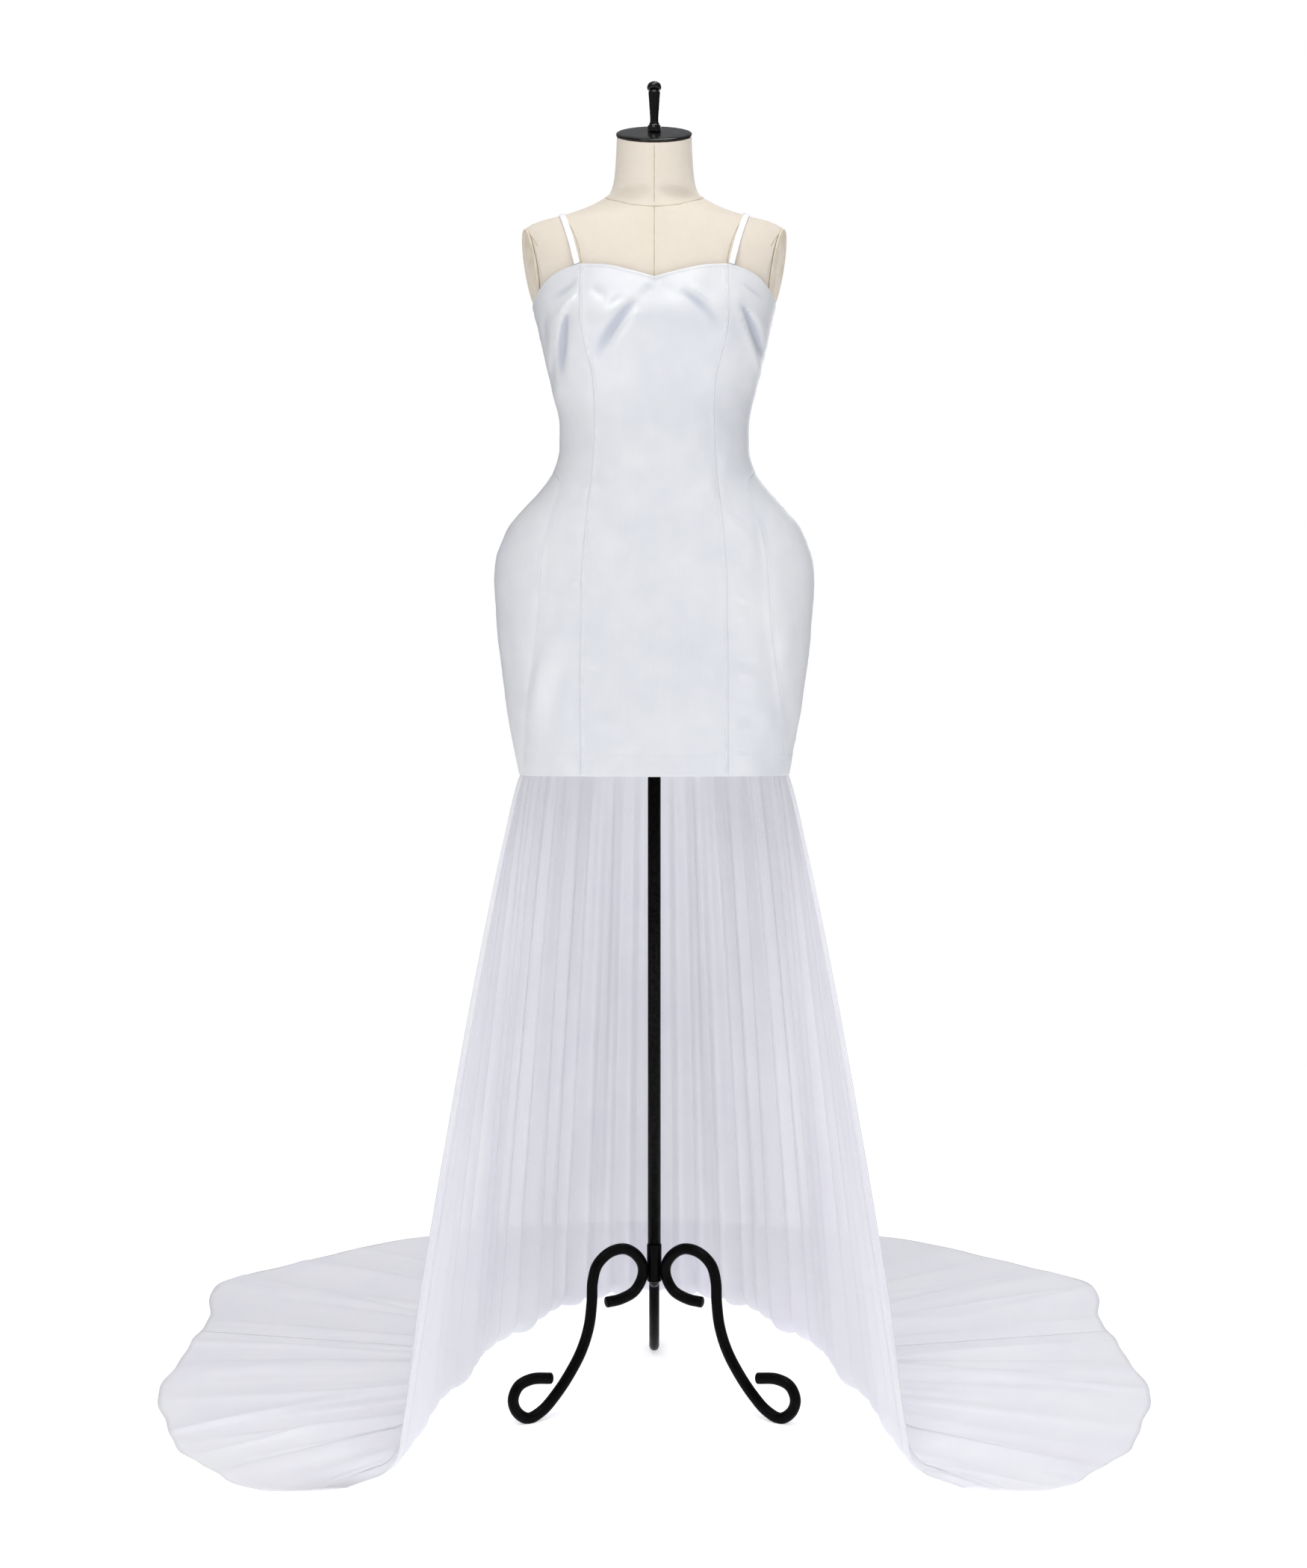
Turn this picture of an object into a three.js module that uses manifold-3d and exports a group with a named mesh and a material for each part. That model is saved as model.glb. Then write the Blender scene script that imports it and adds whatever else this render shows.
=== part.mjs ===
// A satin strap dress with a gathered net train, worn on a limbless dress form with an iron stand.
// Units are millimetres, +Z is up and the front of the dress faces -Y.
import * as THREE from "three";
import { mergeVertices } from "three/addons/utils/BufferGeometryUtils.js";
import Module from "manifold-3d";

// Cloth sizes
const SATIN_WALL = 2;
const NET_WALL = 2.2;
const SEAM_GAP = 0.3;
const HEM_Z = 865;
const BODICE_Z = 1440;
const SIDE_TOP_Z = 1514;
const BACK_TOP_Z = 1492;
const BACK_DIP_ANGLE = 0.7;
const CENTRE_COLUMNS = 8;
const PANEL_COLUMNS = 4;

// The dress at each height: half width, depth to the front, depth to the back, squareness (2 is an ellipse),
// and how far the princess seam and the hip seam lie from the middle
const DRESS = [
  { z: 865, half: 187, front: 118, back: 124, power: 2.3, princess: 99, hip: 179 },
  { z: 915, half: 197, front: 117, back: 126, power: 2.3, princess: 99, hip: 176 },
  { z: 967, half: 206, front: 116, back: 127, power: 2.3, princess: 99, hip: 172 },
  { z: 1033, half: 215, front: 114, back: 127, power: 2.25, princess: 99, hip: 162 },
  { z: 1088, half: 220, front: 112, back: 126, power: 2.2, princess: 98, hip: 156 },
  { z: 1135, half: 223, front: 110, back: 123, power: 2.15, princess: 98, hip: 154 },
  { z: 1161, half: 221, front: 108, back: 120, power: 2.1, princess: 96, hip: 152 },
  { z: 1188, half: 213, front: 106, back: 116, power: 2.05, princess: 94, hip: 147 },
  { z: 1210, half: 203, front: 104, back: 112, power: 2, princess: 92, hip: 142 },
  { z: 1230, half: 186, front: 102, back: 107, power: 2, princess: 90, hip: 136 },
  { z: 1262, half: 157, front: 98, back: 99, power: 2.05, princess: 86, hip: 128 },
  { z: 1288, half: 140, front: 96, back: 93, power: 2.1, princess: 84, hip: 140 },
  { z: 1319, half: 132, front: 95, back: 88, power: 2.15, princess: 82, hip: 132 },
  { z: 1349, half: 132, front: 97, back: 87, power: 2.15, princess: 82, hip: 132 },
  { z: 1399, half: 142, front: 106, back: 92, power: 2.2, princess: 84, hip: 142 },
  { z: 1440, half: 152, front: 118, back: 98, power: 2.3, princess: 91, hip: 152 },
  { z: 1480, half: 161, front: 126, back: 102, power: 2.4, princess: 98, hip: 161 },
  { z: 1515, half: 169, front: 121, back: 103, power: 2.35, princess: 99, hip: 169 },
  { z: 1550, half: 172, front: 112, back: 100, power: 2.3, princess: 100, hip: 172 },
];

// The sweetheart neckline: distance from the middle and height
const NECKLINE = [
  { x: 0, z: 1530 },
  { x: 30, z: 1539.5 },
  { x: 67, z: 1548.5 },
  { x: 100, z: 1552 },
  { x: 133, z: 1544 },
  { x: 156, z: 1528 },
  { x: 169, z: SIDE_TOP_Z },
];

// Heights of the grid rows: skirt, where the hip seam runs out to the side, waist, then shares of the bust
const SKIRT_ROWS = [865, 915, 967, 1033, 1088, 1135, 1161, 1188, 1210, 1230];
const HIP_TOP_ROWS = [1262, 1269, 1276, 1282, 1288];
const WAIST_ROWS = [1319, 1349, 1399, BODICE_Z];
const BUST_SHARES = [0.35, 0.7, 1];

// The dress form at each height: half width, depths, squareness
const FORM = [
  { z: 950, half: 158, front: 96, back: 106, power: 2.1 },
  { z: 1010, half: 165, front: 99, back: 112, power: 2.1 },
  { z: 1100, half: 167, front: 100, back: 112, power: 2.1 },
  { z: 1160, half: 163, front: 98, back: 106, power: 2.1 },
  { z: 1210, half: 152, front: 94, back: 98, power: 2.1 },
  { z: 1250, half: 136, front: 92, back: 90, power: 2.1 },
  { z: 1290, half: 128, front: 90, back: 84, power: 2.1 },
  { z: 1334, half: 127, front: 91, back: 81, power: 2.1 },
  { z: 1390, half: 134, front: 99, back: 86, power: 2.15 },
  { z: 1440, half: 146, front: 112, back: 92, power: 2.25 },
  { z: 1480, half: 155, front: 120, back: 96, power: 2.35 },
  { z: 1510, half: 161, front: 115, back: 97, power: 2.3 },
  { z: 1530, half: 168, front: 108, back: 97, power: 2.25 },
  { z: 1550, half: 180, front: 101, back: 96, power: 2.2 },
  { z: 1590, half: 190, front: 84, back: 91, power: 2.2 },
  { z: 1612, half: 188, front: 75, back: 87, power: 2 },
  { z: 1626, half: 178, front: 69, back: 83, power: 1.7 },
  { z: 1634, half: 162, front: 66, back: 80, power: 1.5 },
  { z: 1642, half: 134, front: 63, back: 77, power: 1.25 },
  { z: 1653, half: 100, front: 60, back: 72, power: 1.1 },
  { z: 1663, half: 78, front: 57.5, back: 67, power: 1.25 },
  { z: 1672, half: 62.5, front: 56.5, back: 63, power: 1.8 },
  { z: 1692, half: 56, front: 54.5, back: 58, power: 2 },
  { z: 1720, half: 53.5, front: 53.5, back: 54, power: 2 },
  { z: 1790, half: 50.5, front: 52, back: 51, power: 2 },
];
const FORM_REACH = 190;
const FORM_SIDES = 28;
const NECK_TILT = 27 * Math.PI / 180;
const NECK_BASE_Z = 1671;
const NECK_TOP_Z = 1755;
const CAP = { halfWidth: 53, halfDepth: 58, thickness: 5, sides: 36 };
const HANDLE = { footZ: 1769, neckZ: 1816, topZ: 1829, footRadius: 6, neckRadius: 9, collarRadius: 9.5, buttonRadius: 10 };
const PLATE = { x: 169.7, y: -6, z: 1568, halfHeight: 55, halfDepth: 40, thickness: 3, sides: 28 };
const PLATE_TURN = 13 * Math.PI / 180;
const PLATE_LEAN = 10.5 * Math.PI / 180;

// Stand
const POLE_RADIUS = 9;
const SLEEVE = { radius: 10.2, bottomZ: 160, topZ: 212 };
const ROUND_SIDES = 20;
const ROD = { radius: 7.5, sides: 8, steps: 40, sink: 1.6 };
const LEG_TURNS = { leg_left: 60, leg_right: -60, leg_back: 180 };
// One leg's middle line: distance from the pole's axis and height
const LEG_LINE = [
  { r: 76, z: 144 },
  { r: 53, z: 145 },
  { r: 31, z: 153 },
  { r: 19, z: 171 },
  { r: 19, z: 187 },
  { r: 31, z: 204 },
  { r: 49, z: 213.5 },
  { r: 72, z: 211 },
  { r: 90, z: 197 },
  { r: 97, z: 176 },
  { r: 98.5, z: 147 },
  { r: 103, z: 115 },
  { r: 114, z: 85 },
  { r: 131, z: 58 },
  { r: 152, z: 33 },
  { r: 174, z: 14 },
  { r: 195, z: 7.5 },
  { r: 212, z: 20 },
  { r: 217, z: 37 },
  { r: 209, z: 53 },
  { r: 190, z: 59 },
  { r: 160, z: 55 },
];

// The net train on the -X side. share is the way along the gathered edge, from the open front edge to the middle
// of the back; land is where the net meets the floor and edge is where it ends
const TRAIN = [
  { share: 0, landX: -318, landY: -250, edgeX: -376, edgeY: -306 },
  { share: 0.08, landX: -311, landY: -190, edgeX: -456, edgeY: -311 },
  { share: 0.17, landX: -298, landY: -100, edgeX: -556, edgeY: -256 },
  { share: 0.27, landX: -280, landY: -10, edgeX: -640, edgeY: -150 },
  { share: 0.37, landX: -264, landY: 75, edgeX: -690, edgeY: 30 },
  { share: 0.46, landX: -246, landY: 145, edgeX: -694, edgeY: 205 },
  { share: 0.55, landX: -224, landY: 205, edgeX: -712, edgeY: 345 },
  { share: 0.63, landX: -194, landY: 262, edgeX: -730, edgeY: 520 },
  { share: 0.71, landX: -165, landY: 322, edgeX: -632, edgeY: 604 },
  { share: 0.8, landX: -125, landY: 375, edgeX: -500, edgeY: 735 },
  { share: 0.9, landX: -68, landY: 425, edgeX: -280, edgeY: 850 },
  { share: 1, landX: 0, landY: 450, edgeX: 0, edgeY: 900 },
];
const NET_START_ANGLE = 75 * Math.PI / 180;
const NET_COLUMNS = 32;
const NET_FOLDS = 8;
const NET_HANG_ROWS = 5;
const NET_BEND_ROWS = 2;
const NET_FLOOR_ROWS = 3;
const NET_BEND_RADIUS = 34;
const NET_FLARE = 0.86;
const FOLD_DEPTH = { hem: 1.5, low: 17, floor: 8, edge: 2 };

// Straps: z is the height up the front or down the back, x the distance from the middle
const STRAP = { width: 8, thickness: 2, clear: 1.8, leaveHeight: 45, topZ: 1645.5 };
const STRAP_FRONT = [
  { x: 104, z: 1552.7 },
  { x: 108, z: 1570 },
  { x: 113, z: 1592 },
  { x: 119, z: 1612 },
  { x: 124, z: 1627 },
  { x: 128, z: 1638 },
];
const STRAP_BACK = [
  { x: 128, z: 1637 },
  { x: 124, z: 1624 },
  { x: 118, z: 1600 },
  { x: 111, z: 1565 },
  { x: 105, z: 1528 },
  { x: 100, z: BACK_TOP_Z + 1 },
];

// Zip at the centre back
const SLIDER = { width: 6.6, height: 9, thickness: 2.4, z: 1474, ear: 1.2, pinRadius: 0.6, pinOut: 2.3, earRadius: 1.5 };
const PULL = { width: 3.4, length: 20, thickness: 1.2, knuckle: 1.8, bore: 0.95 };

// Size of the blocks that cut, and how close two points are to be one
const CUTTER = 600;
const SAME_POINT = 1e-4;
// Sides and segments of small round pieces
const PIN_SIDES = 12;
const GRIP_SIDES = 8;

const wasm = await Module();
wasm.setup();

function finish(color, roughness, metalness = 0) {
  return new THREE.MeshStandardMaterial({ color, roughness, metalness });
}

const model = new THREE.Group();

function add(name, geometry, material) {
  const mesh = new THREE.Mesh(geometry, material);
  mesh.name = name;
  model.add(mesh);
}

function mix(a, b, t) {
  return a + (b - a) * t;
}

function smooth(t) {
  const held = Math.min(Math.max(t, 0), 1);
  return held * held * (3 - 2 * held);
}

// The table's row at a value of one of its columns, straight between the rows
function rowAt(table, key, value) {
  let high = 1;
  while (high < table.length - 1 && table[high][key] < value) high += 1;
  const low = table[high - 1];
  const span = table[high][key] - low[key];
  const t = Math.min(Math.max((value - low[key]) / span, 0), 1);
  const names = Object.keys(low);
  return Object.fromEntries(names.map((name) => [name, mix(low[name], table[high][name], t)]));
}

// A point of a body section: the angle runs from the middle front (-Y) towards +X
function sectionPoint(table, angle, z) {
  const row = rowAt(table, "z", z);
  const across = Math.sin(angle);
  const along = Math.cos(angle);
  const depth = along > 0 ? -row.front : row.back;
  const x = row.half * Math.sign(across) * Math.abs(across) ** (2 / row.power);
  return new THREE.Vector3(x, depth * Math.abs(along) ** (2 / row.power), z);
}

// The angle of the section point at a distance from the middle
function angleAt(table, distance, z) {
  const row = rowAt(table, "z", z);
  return Math.asin(Math.min(distance / row.half, 1) ** (row.power / 2));
}

// The outward direction of a body surface
function outward(table, angle, z) {
  const step = 0.02;
  const rise = 3;
  const side = sectionPoint(table, angle + step, z).sub(sectionPoint(table, angle - step, z));
  const up = sectionPoint(table, angle, z + rise).sub(sectionPoint(table, angle, z - rise));
  return side.cross(up).normalize();
}

// A closed wall between two grids of points; each grid is a list of rows of equal length
function wall(outer, inner) {
  const rows = outer.length;
  const columns = outer[0].length;
  const points = [...outer.flat(), ...inner.flat()];
  const other = rows * columns;
  const faces = [];
  const quad = (a, b, c, d) => faces.push(a, b, c, a, c, d);
  for (let i = 0; i < rows - 1; i += 1) {
    for (let j = 0; j < columns - 1; j += 1) {
      const a = i * columns + j;
      quad(a, a + 1, a + columns + 1, a + columns);
      quad(other + a, other + a + columns, other + a + columns + 1, other + a + 1);
    }
  }
  const last = (rows - 1) * columns;
  for (let j = 0; j < columns - 1; j += 1) {
    quad(j, other + j, other + j + 1, j + 1);
    quad(last + j, last + j + 1, other + last + j + 1, other + last + j);
  }
  for (let i = 0; i < rows - 1; i += 1) {
    const a = i * columns;
    const b = a + columns - 1;
    quad(a, a + columns, other + a + columns, other + a);
    quad(b, other + b, other + b + columns, b + columns);
  }
  return facing(points, faces);
}

// A geometry whose faces point out, whichever way the faces were listed
function facing(points, faces) {
  let volume = 0;
  for (let i = 0; i < faces.length; i += 3) {
    const [a, b, c] = faces.slice(i, i + 3).map((index) => points[index]);
    volume += a.dot(b.clone().cross(c));
  }
  const geometry = new THREE.BufferGeometry().setFromPoints(points);
  geometry.setIndex(volume > 0 ? faces : faces.reverse());
  return geometry;
}

function solid(geometry) {
  const bare = geometry.clone();
  bare.deleteAttribute("normal");
  bare.deleteAttribute("uv");
  const merged = mergeVertices(bare, SAME_POINT);
  const vertProperties = new Float32Array(merged.attributes.position.array);
  return new wasm.Manifold(new wasm.Mesh({ numProp: 3, vertProperties, triVerts: new Uint32Array(merged.index.array) }));
}

function geometryOf(manifold) {
  const mesh = manifold.getMesh();
  const geometry = new THREE.BufferGeometry();
  geometry.setAttribute("position", new THREE.BufferAttribute(new Float32Array(mesh.vertProperties), 3));
  geometry.setIndex(new THREE.BufferAttribute(new Uint32Array(mesh.triVerts), 1));
  return geometry;
}

// A big block with one face on a plane, on the side that the normal points to
function blockBeyond(point, normal) {
  const block = new THREE.BoxGeometry(CUTTER, CUTTER, CUTTER);
  block.translate(0, 0, CUTTER / 2);
  block.applyQuaternion(new THREE.Quaternion().setFromUnitVectors(new THREE.Vector3(0, 0, 1), normal));
  block.translate(point.x, point.y, point.z);
  return solid(block);
}

// Height of the dress's top edge at an angle round the body
function topEdge(angle) {
  const turn = Math.abs(angle);
  if (turn > Math.PI / 2) {
    return mix(SIDE_TOP_Z, BACK_TOP_Z, smooth((turn - Math.PI / 2) / BACK_DIP_ANGLE));
  }
  let z = SIDE_TOP_Z;
  for (let pass = 0; pass < 6; pass += 1) {
    z = rowAt(NECKLINE, "x", Math.abs(sectionPoint(DRESS, angle, z).x)).z;
  }
  return z;
}

// Seam lines as angles, on the front of the +X side
const princessLine = (z) => angleAt(DRESS, rowAt(DRESS, "z", z).princess, z);
const hipLine = (z) => angleAt(DRESS, rowAt(DRESS, "z", z).hip, z);
const toBack = (line) => (z) => Math.PI - line(z);
const toOtherSide = (line) => (z) => -line(z);
const constant = (angle) => () => angle;

// Outer and inner grids from rows of angle and height, its edges drawn back by half a seam
function satinWall(grid) {
  const outer = grid.map((row) => row.map(([angle, z]) => sectionPoint(DRESS, angle, z)));
  const inner = grid.map((row, i) => row.map(([angle, z], j) =>
    outer[i][j].clone().addScaledVector(outward(DRESS, angle, z), -SATIN_WALL)));
  drawBack(outer);
  drawBack(inner);
  return wall(outer, inner);
}

function drawBack(grid) {
  const last = grid[0].length - 1;
  for (const row of grid) {
    const left = row[1].clone().sub(row[0]).setLength(SEAM_GAP / 2);
    const right = row[last - 1].clone().sub(row[last]).setLength(SEAM_GAP / 2);
    row[0].add(left);
    row[last].add(right);
  }
}

// A panel from the hem to the top edge, between two seam lines
function longPanel(name, from, to, columns) {
  const grid = [];
  for (const z of [...SKIRT_ROWS, ...HIP_TOP_ROWS, ...WAIST_ROWS]) {
    grid.push(spread(columns, (t) => [mix(from(z), to(z), t), z]));
  }
  for (const share of BUST_SHARES) {
    grid.push(spread(columns, (t) => {
      const low = mix(from(BODICE_Z), to(BODICE_Z), t);
      const high = mix(from(SIDE_TOP_Z), to(SIDE_TOP_Z), t);
      const angle = mix(low, high, share);
      return [angle, mix(BODICE_Z, topEdge(angle), share)];
    }));
  }
  add(name, satinWall(grid), finish("#e9edf2", 0.35));
}

function spread(count, value) {
  return Array.from({ length: count + 1 }, (_, i) => value(i / count));
}

// A hip gore from the hip seam to the side seam; its top edge follows the hip seam out to the side
function hipPanel(name, seam, side) {
  const grid = SKIRT_ROWS.map((z) => spread(PANEL_COLUMNS, (t) => [mix(seam(z), side, t), z]));
  grid.push(HIP_TOP_ROWS.map((z) => [seam(z), z - SEAM_GAP]));
  add(name, satinWall(grid), finish("#e7ebf1", 0.35));
}

function buildSatin() {
  const side = Math.PI / 2;
  const mirrored = { right: (line) => line, left: toOtherSide };
  longPanel("front_centre", toOtherSide(princessLine), princessLine, CENTRE_COLUMNS);
  for (const [hand, turn] of Object.entries(mirrored)) {
    const sign = hand === "right" ? 1 : -1;
    longPanel(`front_side_${hand}`, turn(princessLine), turn(hipLine), PANEL_COLUMNS);
    longPanel(`back_side_${hand}`, turn(toBack(hipLine)), turn(toBack(princessLine)), PANEL_COLUMNS);
    longPanel(`back_centre_${hand}`, turn(toBack(princessLine)), turn(constant(Math.PI)), PANEL_COLUMNS);
    hipPanel(`hip_front_${hand}`, turn(hipLine), side * sign);
    hipPanel(`hip_back_${hand}`, turn(toBack(hipLine)), side * sign);
  }
}

// A flat band along points, facing the directions given, as four-sided rings with closed ends
function band(points, facings, width, thickness) {
  const outer = [];
  const inner = [];
  points.forEach((point, i) => {
    const before = points[Math.max(i - 1, 0)];
    const after = points[Math.min(i + 1, points.length - 1)];
    const across = after.clone().sub(before).cross(facings[i]).setLength(width / 2);
    const lift = facings[i].clone().setLength(thickness / 2);
    outer.push([point.clone().sub(across).add(lift), point.clone().add(across).add(lift)]);
    inner.push([point.clone().sub(across).sub(lift), point.clone().add(across).sub(lift)]);
  });
  return wall(outer, inner);
}

// One strap: up the chest from the neckline, over the shoulder and down to the back edge
function buildStrap(name, sign) {
  const points = [];
  const facings = [];
  const place = (x, z, back, endZ) => {
    const round = (table) => sign * (back ? Math.PI - angleAt(table, x, z) : angleAt(table, x, z));
    const angle = round(FORM);
    const facing = outward(FORM, angle, z);
    const onForm = sectionPoint(FORM, angle, z).addScaledVector(facing, STRAP.clear + STRAP.thickness / 2);
    const edgeFacing = outward(DRESS, round(DRESS), z);
    const onEdge = sectionPoint(DRESS, round(DRESS), z).addScaledVector(edgeFacing, -SATIN_WALL / 2);
    points.push(onForm.lerp(onEdge, 1 - smooth((z - endZ) / STRAP.leaveHeight)));
    facings.push(facing);
  };
  const frontEnd = STRAP_FRONT[0].z;
  for (const { x, z } of STRAP_FRONT) place(x, z, false, frontEnd);
  place(FORM_REACH, STRAP.topZ, false, frontEnd);
  const backEnd = STRAP_BACK.at(-1).z;
  for (const { x, z } of STRAP_BACK) place(x, z, true, backEnd);
  const route = new THREE.CatmullRomCurve3(points, false, "centripetal");
  const along = new THREE.CatmullRomCurve3(facings, false, "centripetal");
  const steps = spread(2 * points.length, (t) => t);
  const smoothed = steps.map((t) => route.getPoint(t));
  add(name, band(smoothed, steps.map((t) => along.getPoint(t)), STRAP.width, STRAP.thickness), finish("#eef1f5", 0.35));
}

// The zip's slider with its two ears and pin, and the pull tab that swings on the pin
function buildZip() {
  const face = sectionPoint(DRESS, Math.PI, SLIDER.z).y + SEAM_GAP;
  const pinY = face + SLIDER.thickness + SLIDER.pinOut;
  const body = new THREE.BoxGeometry(SLIDER.width, SLIDER.thickness, SLIDER.height);
  body.translate(0, face + SLIDER.thickness / 2, SLIDER.z);
  let slider = solid(body);
  const reach = SLIDER.pinOut + SLIDER.earRadius + SLIDER.thickness / 2;
  for (const sign of [-1, 1]) {
    const ear = new THREE.BoxGeometry(SLIDER.ear, reach, 2 * SLIDER.earRadius);
    ear.translate(sign * (SLIDER.width - SLIDER.ear) / 2, face + SLIDER.thickness / 2 + reach / 2, SLIDER.z);
    slider = slider.add(solid(ear));
  }
  const pin = new THREE.CylinderGeometry(SLIDER.pinRadius, SLIDER.pinRadius, SLIDER.width - SLIDER.ear, PIN_SIDES);
  pin.rotateZ(Math.PI / 2);
  pin.translate(0, pinY, SLIDER.z);
  add("zip_slider", geometryOf(slider.add(solid(pin))), finish("#cfd2d6", 0.3, 1));

  const open = Math.asin(PULL.thickness / 2 / PULL.knuckle);
  const outline = new THREE.Shape();
  outline.absarc(0, 0, PULL.knuckle, open - Math.PI / 2, 1.5 * Math.PI - open, false);
  outline.lineTo(-PULL.thickness / 2, -PULL.length);
  outline.lineTo(PULL.thickness / 2, -PULL.length);
  outline.closePath();
  outline.holes.push(new THREE.Path().absarc(0, 0, PULL.bore, 0, 2 * Math.PI, true));
  const tab = new THREE.ExtrudeGeometry(outline, { depth: PULL.width, bevelEnabled: false, curveSegments: 6 });
  tab.translate(0, 0, -PULL.width / 2);
  const turned = new THREE.Matrix4().makeBasis(
    new THREE.Vector3(0, 1, 0), new THREE.Vector3(0, 0, 1), new THREE.Vector3(1, 0, 0));
  tab.applyMatrix4(turned);
  tab.translate(0, pinY, SLIDER.z);
  add("zip_pull", geometryOf(solid(tab)), finish("#cfd2d6", 0.3, 1));
}

// The padded body, cut at the arms and at the neck seam, with its arm plates, neck and turned neck top
function buildForm() {
  const rings = FORM.map(({ z }) => spread(FORM_SIDES, (t) => sectionPoint(FORM, 2 * Math.PI * t, z)));
  const whole = solid(capped(rings.map((ring) => ring.slice(0, FORM_SIDES))));
  const neckUp = new THREE.Vector3(0, -Math.sin(NECK_TILT), Math.cos(NECK_TILT));
  const base = new THREE.Vector3(0, 0, NECK_BASE_Z);
  const top = new THREE.Vector3(0, 0, NECK_TOP_Z);
  let torso = whole.subtract(blockBeyond(base, neckUp));
  for (const [hand, sign] of [["left", -1], ["right", 1]]) {
    const facing = new THREE.Vector3(
      sign * Math.cos(PLATE_TURN) * Math.cos(PLATE_LEAN),
      -Math.sin(PLATE_TURN) * Math.cos(PLATE_LEAN),
      -Math.sin(PLATE_LEAN));
    const centre = new THREE.Vector3(sign * PLATE.x, PLATE.y, PLATE.z);
    torso = torso.subtract(blockBeyond(centre.clone().addScaledVector(facing, -SEAM_GAP), facing));
    add(`form_arm_plate_${hand}`, plate(centre, facing), finish("#d9d0c1", 0.7));
  }
  add("form_torso", geometryOf(torso), finish("#e9e1d2", 0.85));

  const neck = whole
    .intersect(blockBeyond(base.clone().addScaledVector(neckUp, SEAM_GAP), neckUp))
    .subtract(blockBeyond(top, neckUp));
  add("form_neck", geometryOf(neck), finish("#ece5d8", 0.85));

  const cap = new THREE.CylinderGeometry(CAP.halfWidth, CAP.halfWidth, CAP.thickness, CAP.sides);
  cap.scale(1, 1, CAP.halfDepth / CAP.halfWidth);
  cap.applyQuaternion(new THREE.Quaternion().setFromUnitVectors(new THREE.Vector3(0, 1, 0), neckUp));
  const capCentre = top.clone().addScaledVector(neckUp, SEAM_GAP + CAP.thickness / 2);
  cap.translate(capCentre.x, capCentre.y, capCentre.z);
  add("neck_cap", geometryOf(solid(cap)), finish("#0d0f10", 0.12));

  const capTop = capCentre.clone().addScaledVector(neckUp, CAP.thickness / 2 + SEAM_GAP);
  const footY = capTop.y;
  const upright = (radiusTop, radiusFoot, fromZ, toZ, sides) => {
    const piece = new THREE.CylinderGeometry(radiusTop, radiusFoot, toZ - fromZ, sides);
    piece.rotateX(Math.PI / 2);
    piece.translate(0, footY, (fromZ + toZ) / 2);
    return solid(piece);
  };
  const collar = upright(HANDLE.collarRadius, HANDLE.collarRadius, NECK_TOP_Z - HANDLE.neckRadius, HANDLE.footZ, ROUND_SIDES);
  const grip = upright(HANDLE.neckRadius, HANDLE.footRadius, HANDLE.footZ - 1, HANDLE.neckZ, GRIP_SIDES);
  const button = new THREE.SphereGeometry(HANDLE.buttonRadius, 16, 8);
  button.scale(1, 1, (HANDLE.topZ - HANDLE.neckZ + 2) / 2 / HANDLE.buttonRadius);
  button.translate(0, footY, (HANDLE.topZ + HANDLE.neckZ - 2) / 2);
  const below = blockBeyond(capTop, neckUp.clone().negate());
  add("neck_handle", geometryOf(collar.add(grip).add(solid(button)).subtract(below)), finish("#0d0f10", 0.12));
}

// An oval plate with its inner face at a point
function plate(point, facing) {
  const disc = new THREE.CylinderGeometry(1, 1, PLATE.thickness, PLATE.sides);
  disc.rotateX(Math.PI / 2);
  disc.scale(PLATE.halfDepth, PLATE.halfHeight, 1);
  const up = new THREE.Vector3(0, 0, 1).addScaledVector(facing, -facing.z).normalize();
  disc.applyMatrix4(new THREE.Matrix4().makeBasis(up.clone().cross(facing), up, facing));
  const centre = point.clone().addScaledVector(facing, PLATE.thickness / 2);
  disc.translate(centre.x, centre.y, centre.z);
  return geometryOf(solid(disc));
}

// A closed body from rings of equal length, with flat ends
function capped(rings) {
  const count = rings[0].length;
  const points = rings.flat();
  const faces = [];
  for (let i = 0; i < rings.length - 1; i += 1) {
    for (let j = 0; j < count; j += 1) {
      const next = (j + 1) % count;
      const a = i * count + j;
      const b = i * count + next;
      faces.push(a, b, b + count, a, b + count, a + count);
    }
  }
  const top = (rings.length - 1) * count;
  for (let j = 1; j < count - 1; j += 1) {
    faces.push(0, j + 1, j);
    faces.push(top, top + j, top + j + 1);
  }
  return facing(points, faces);
}

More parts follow.
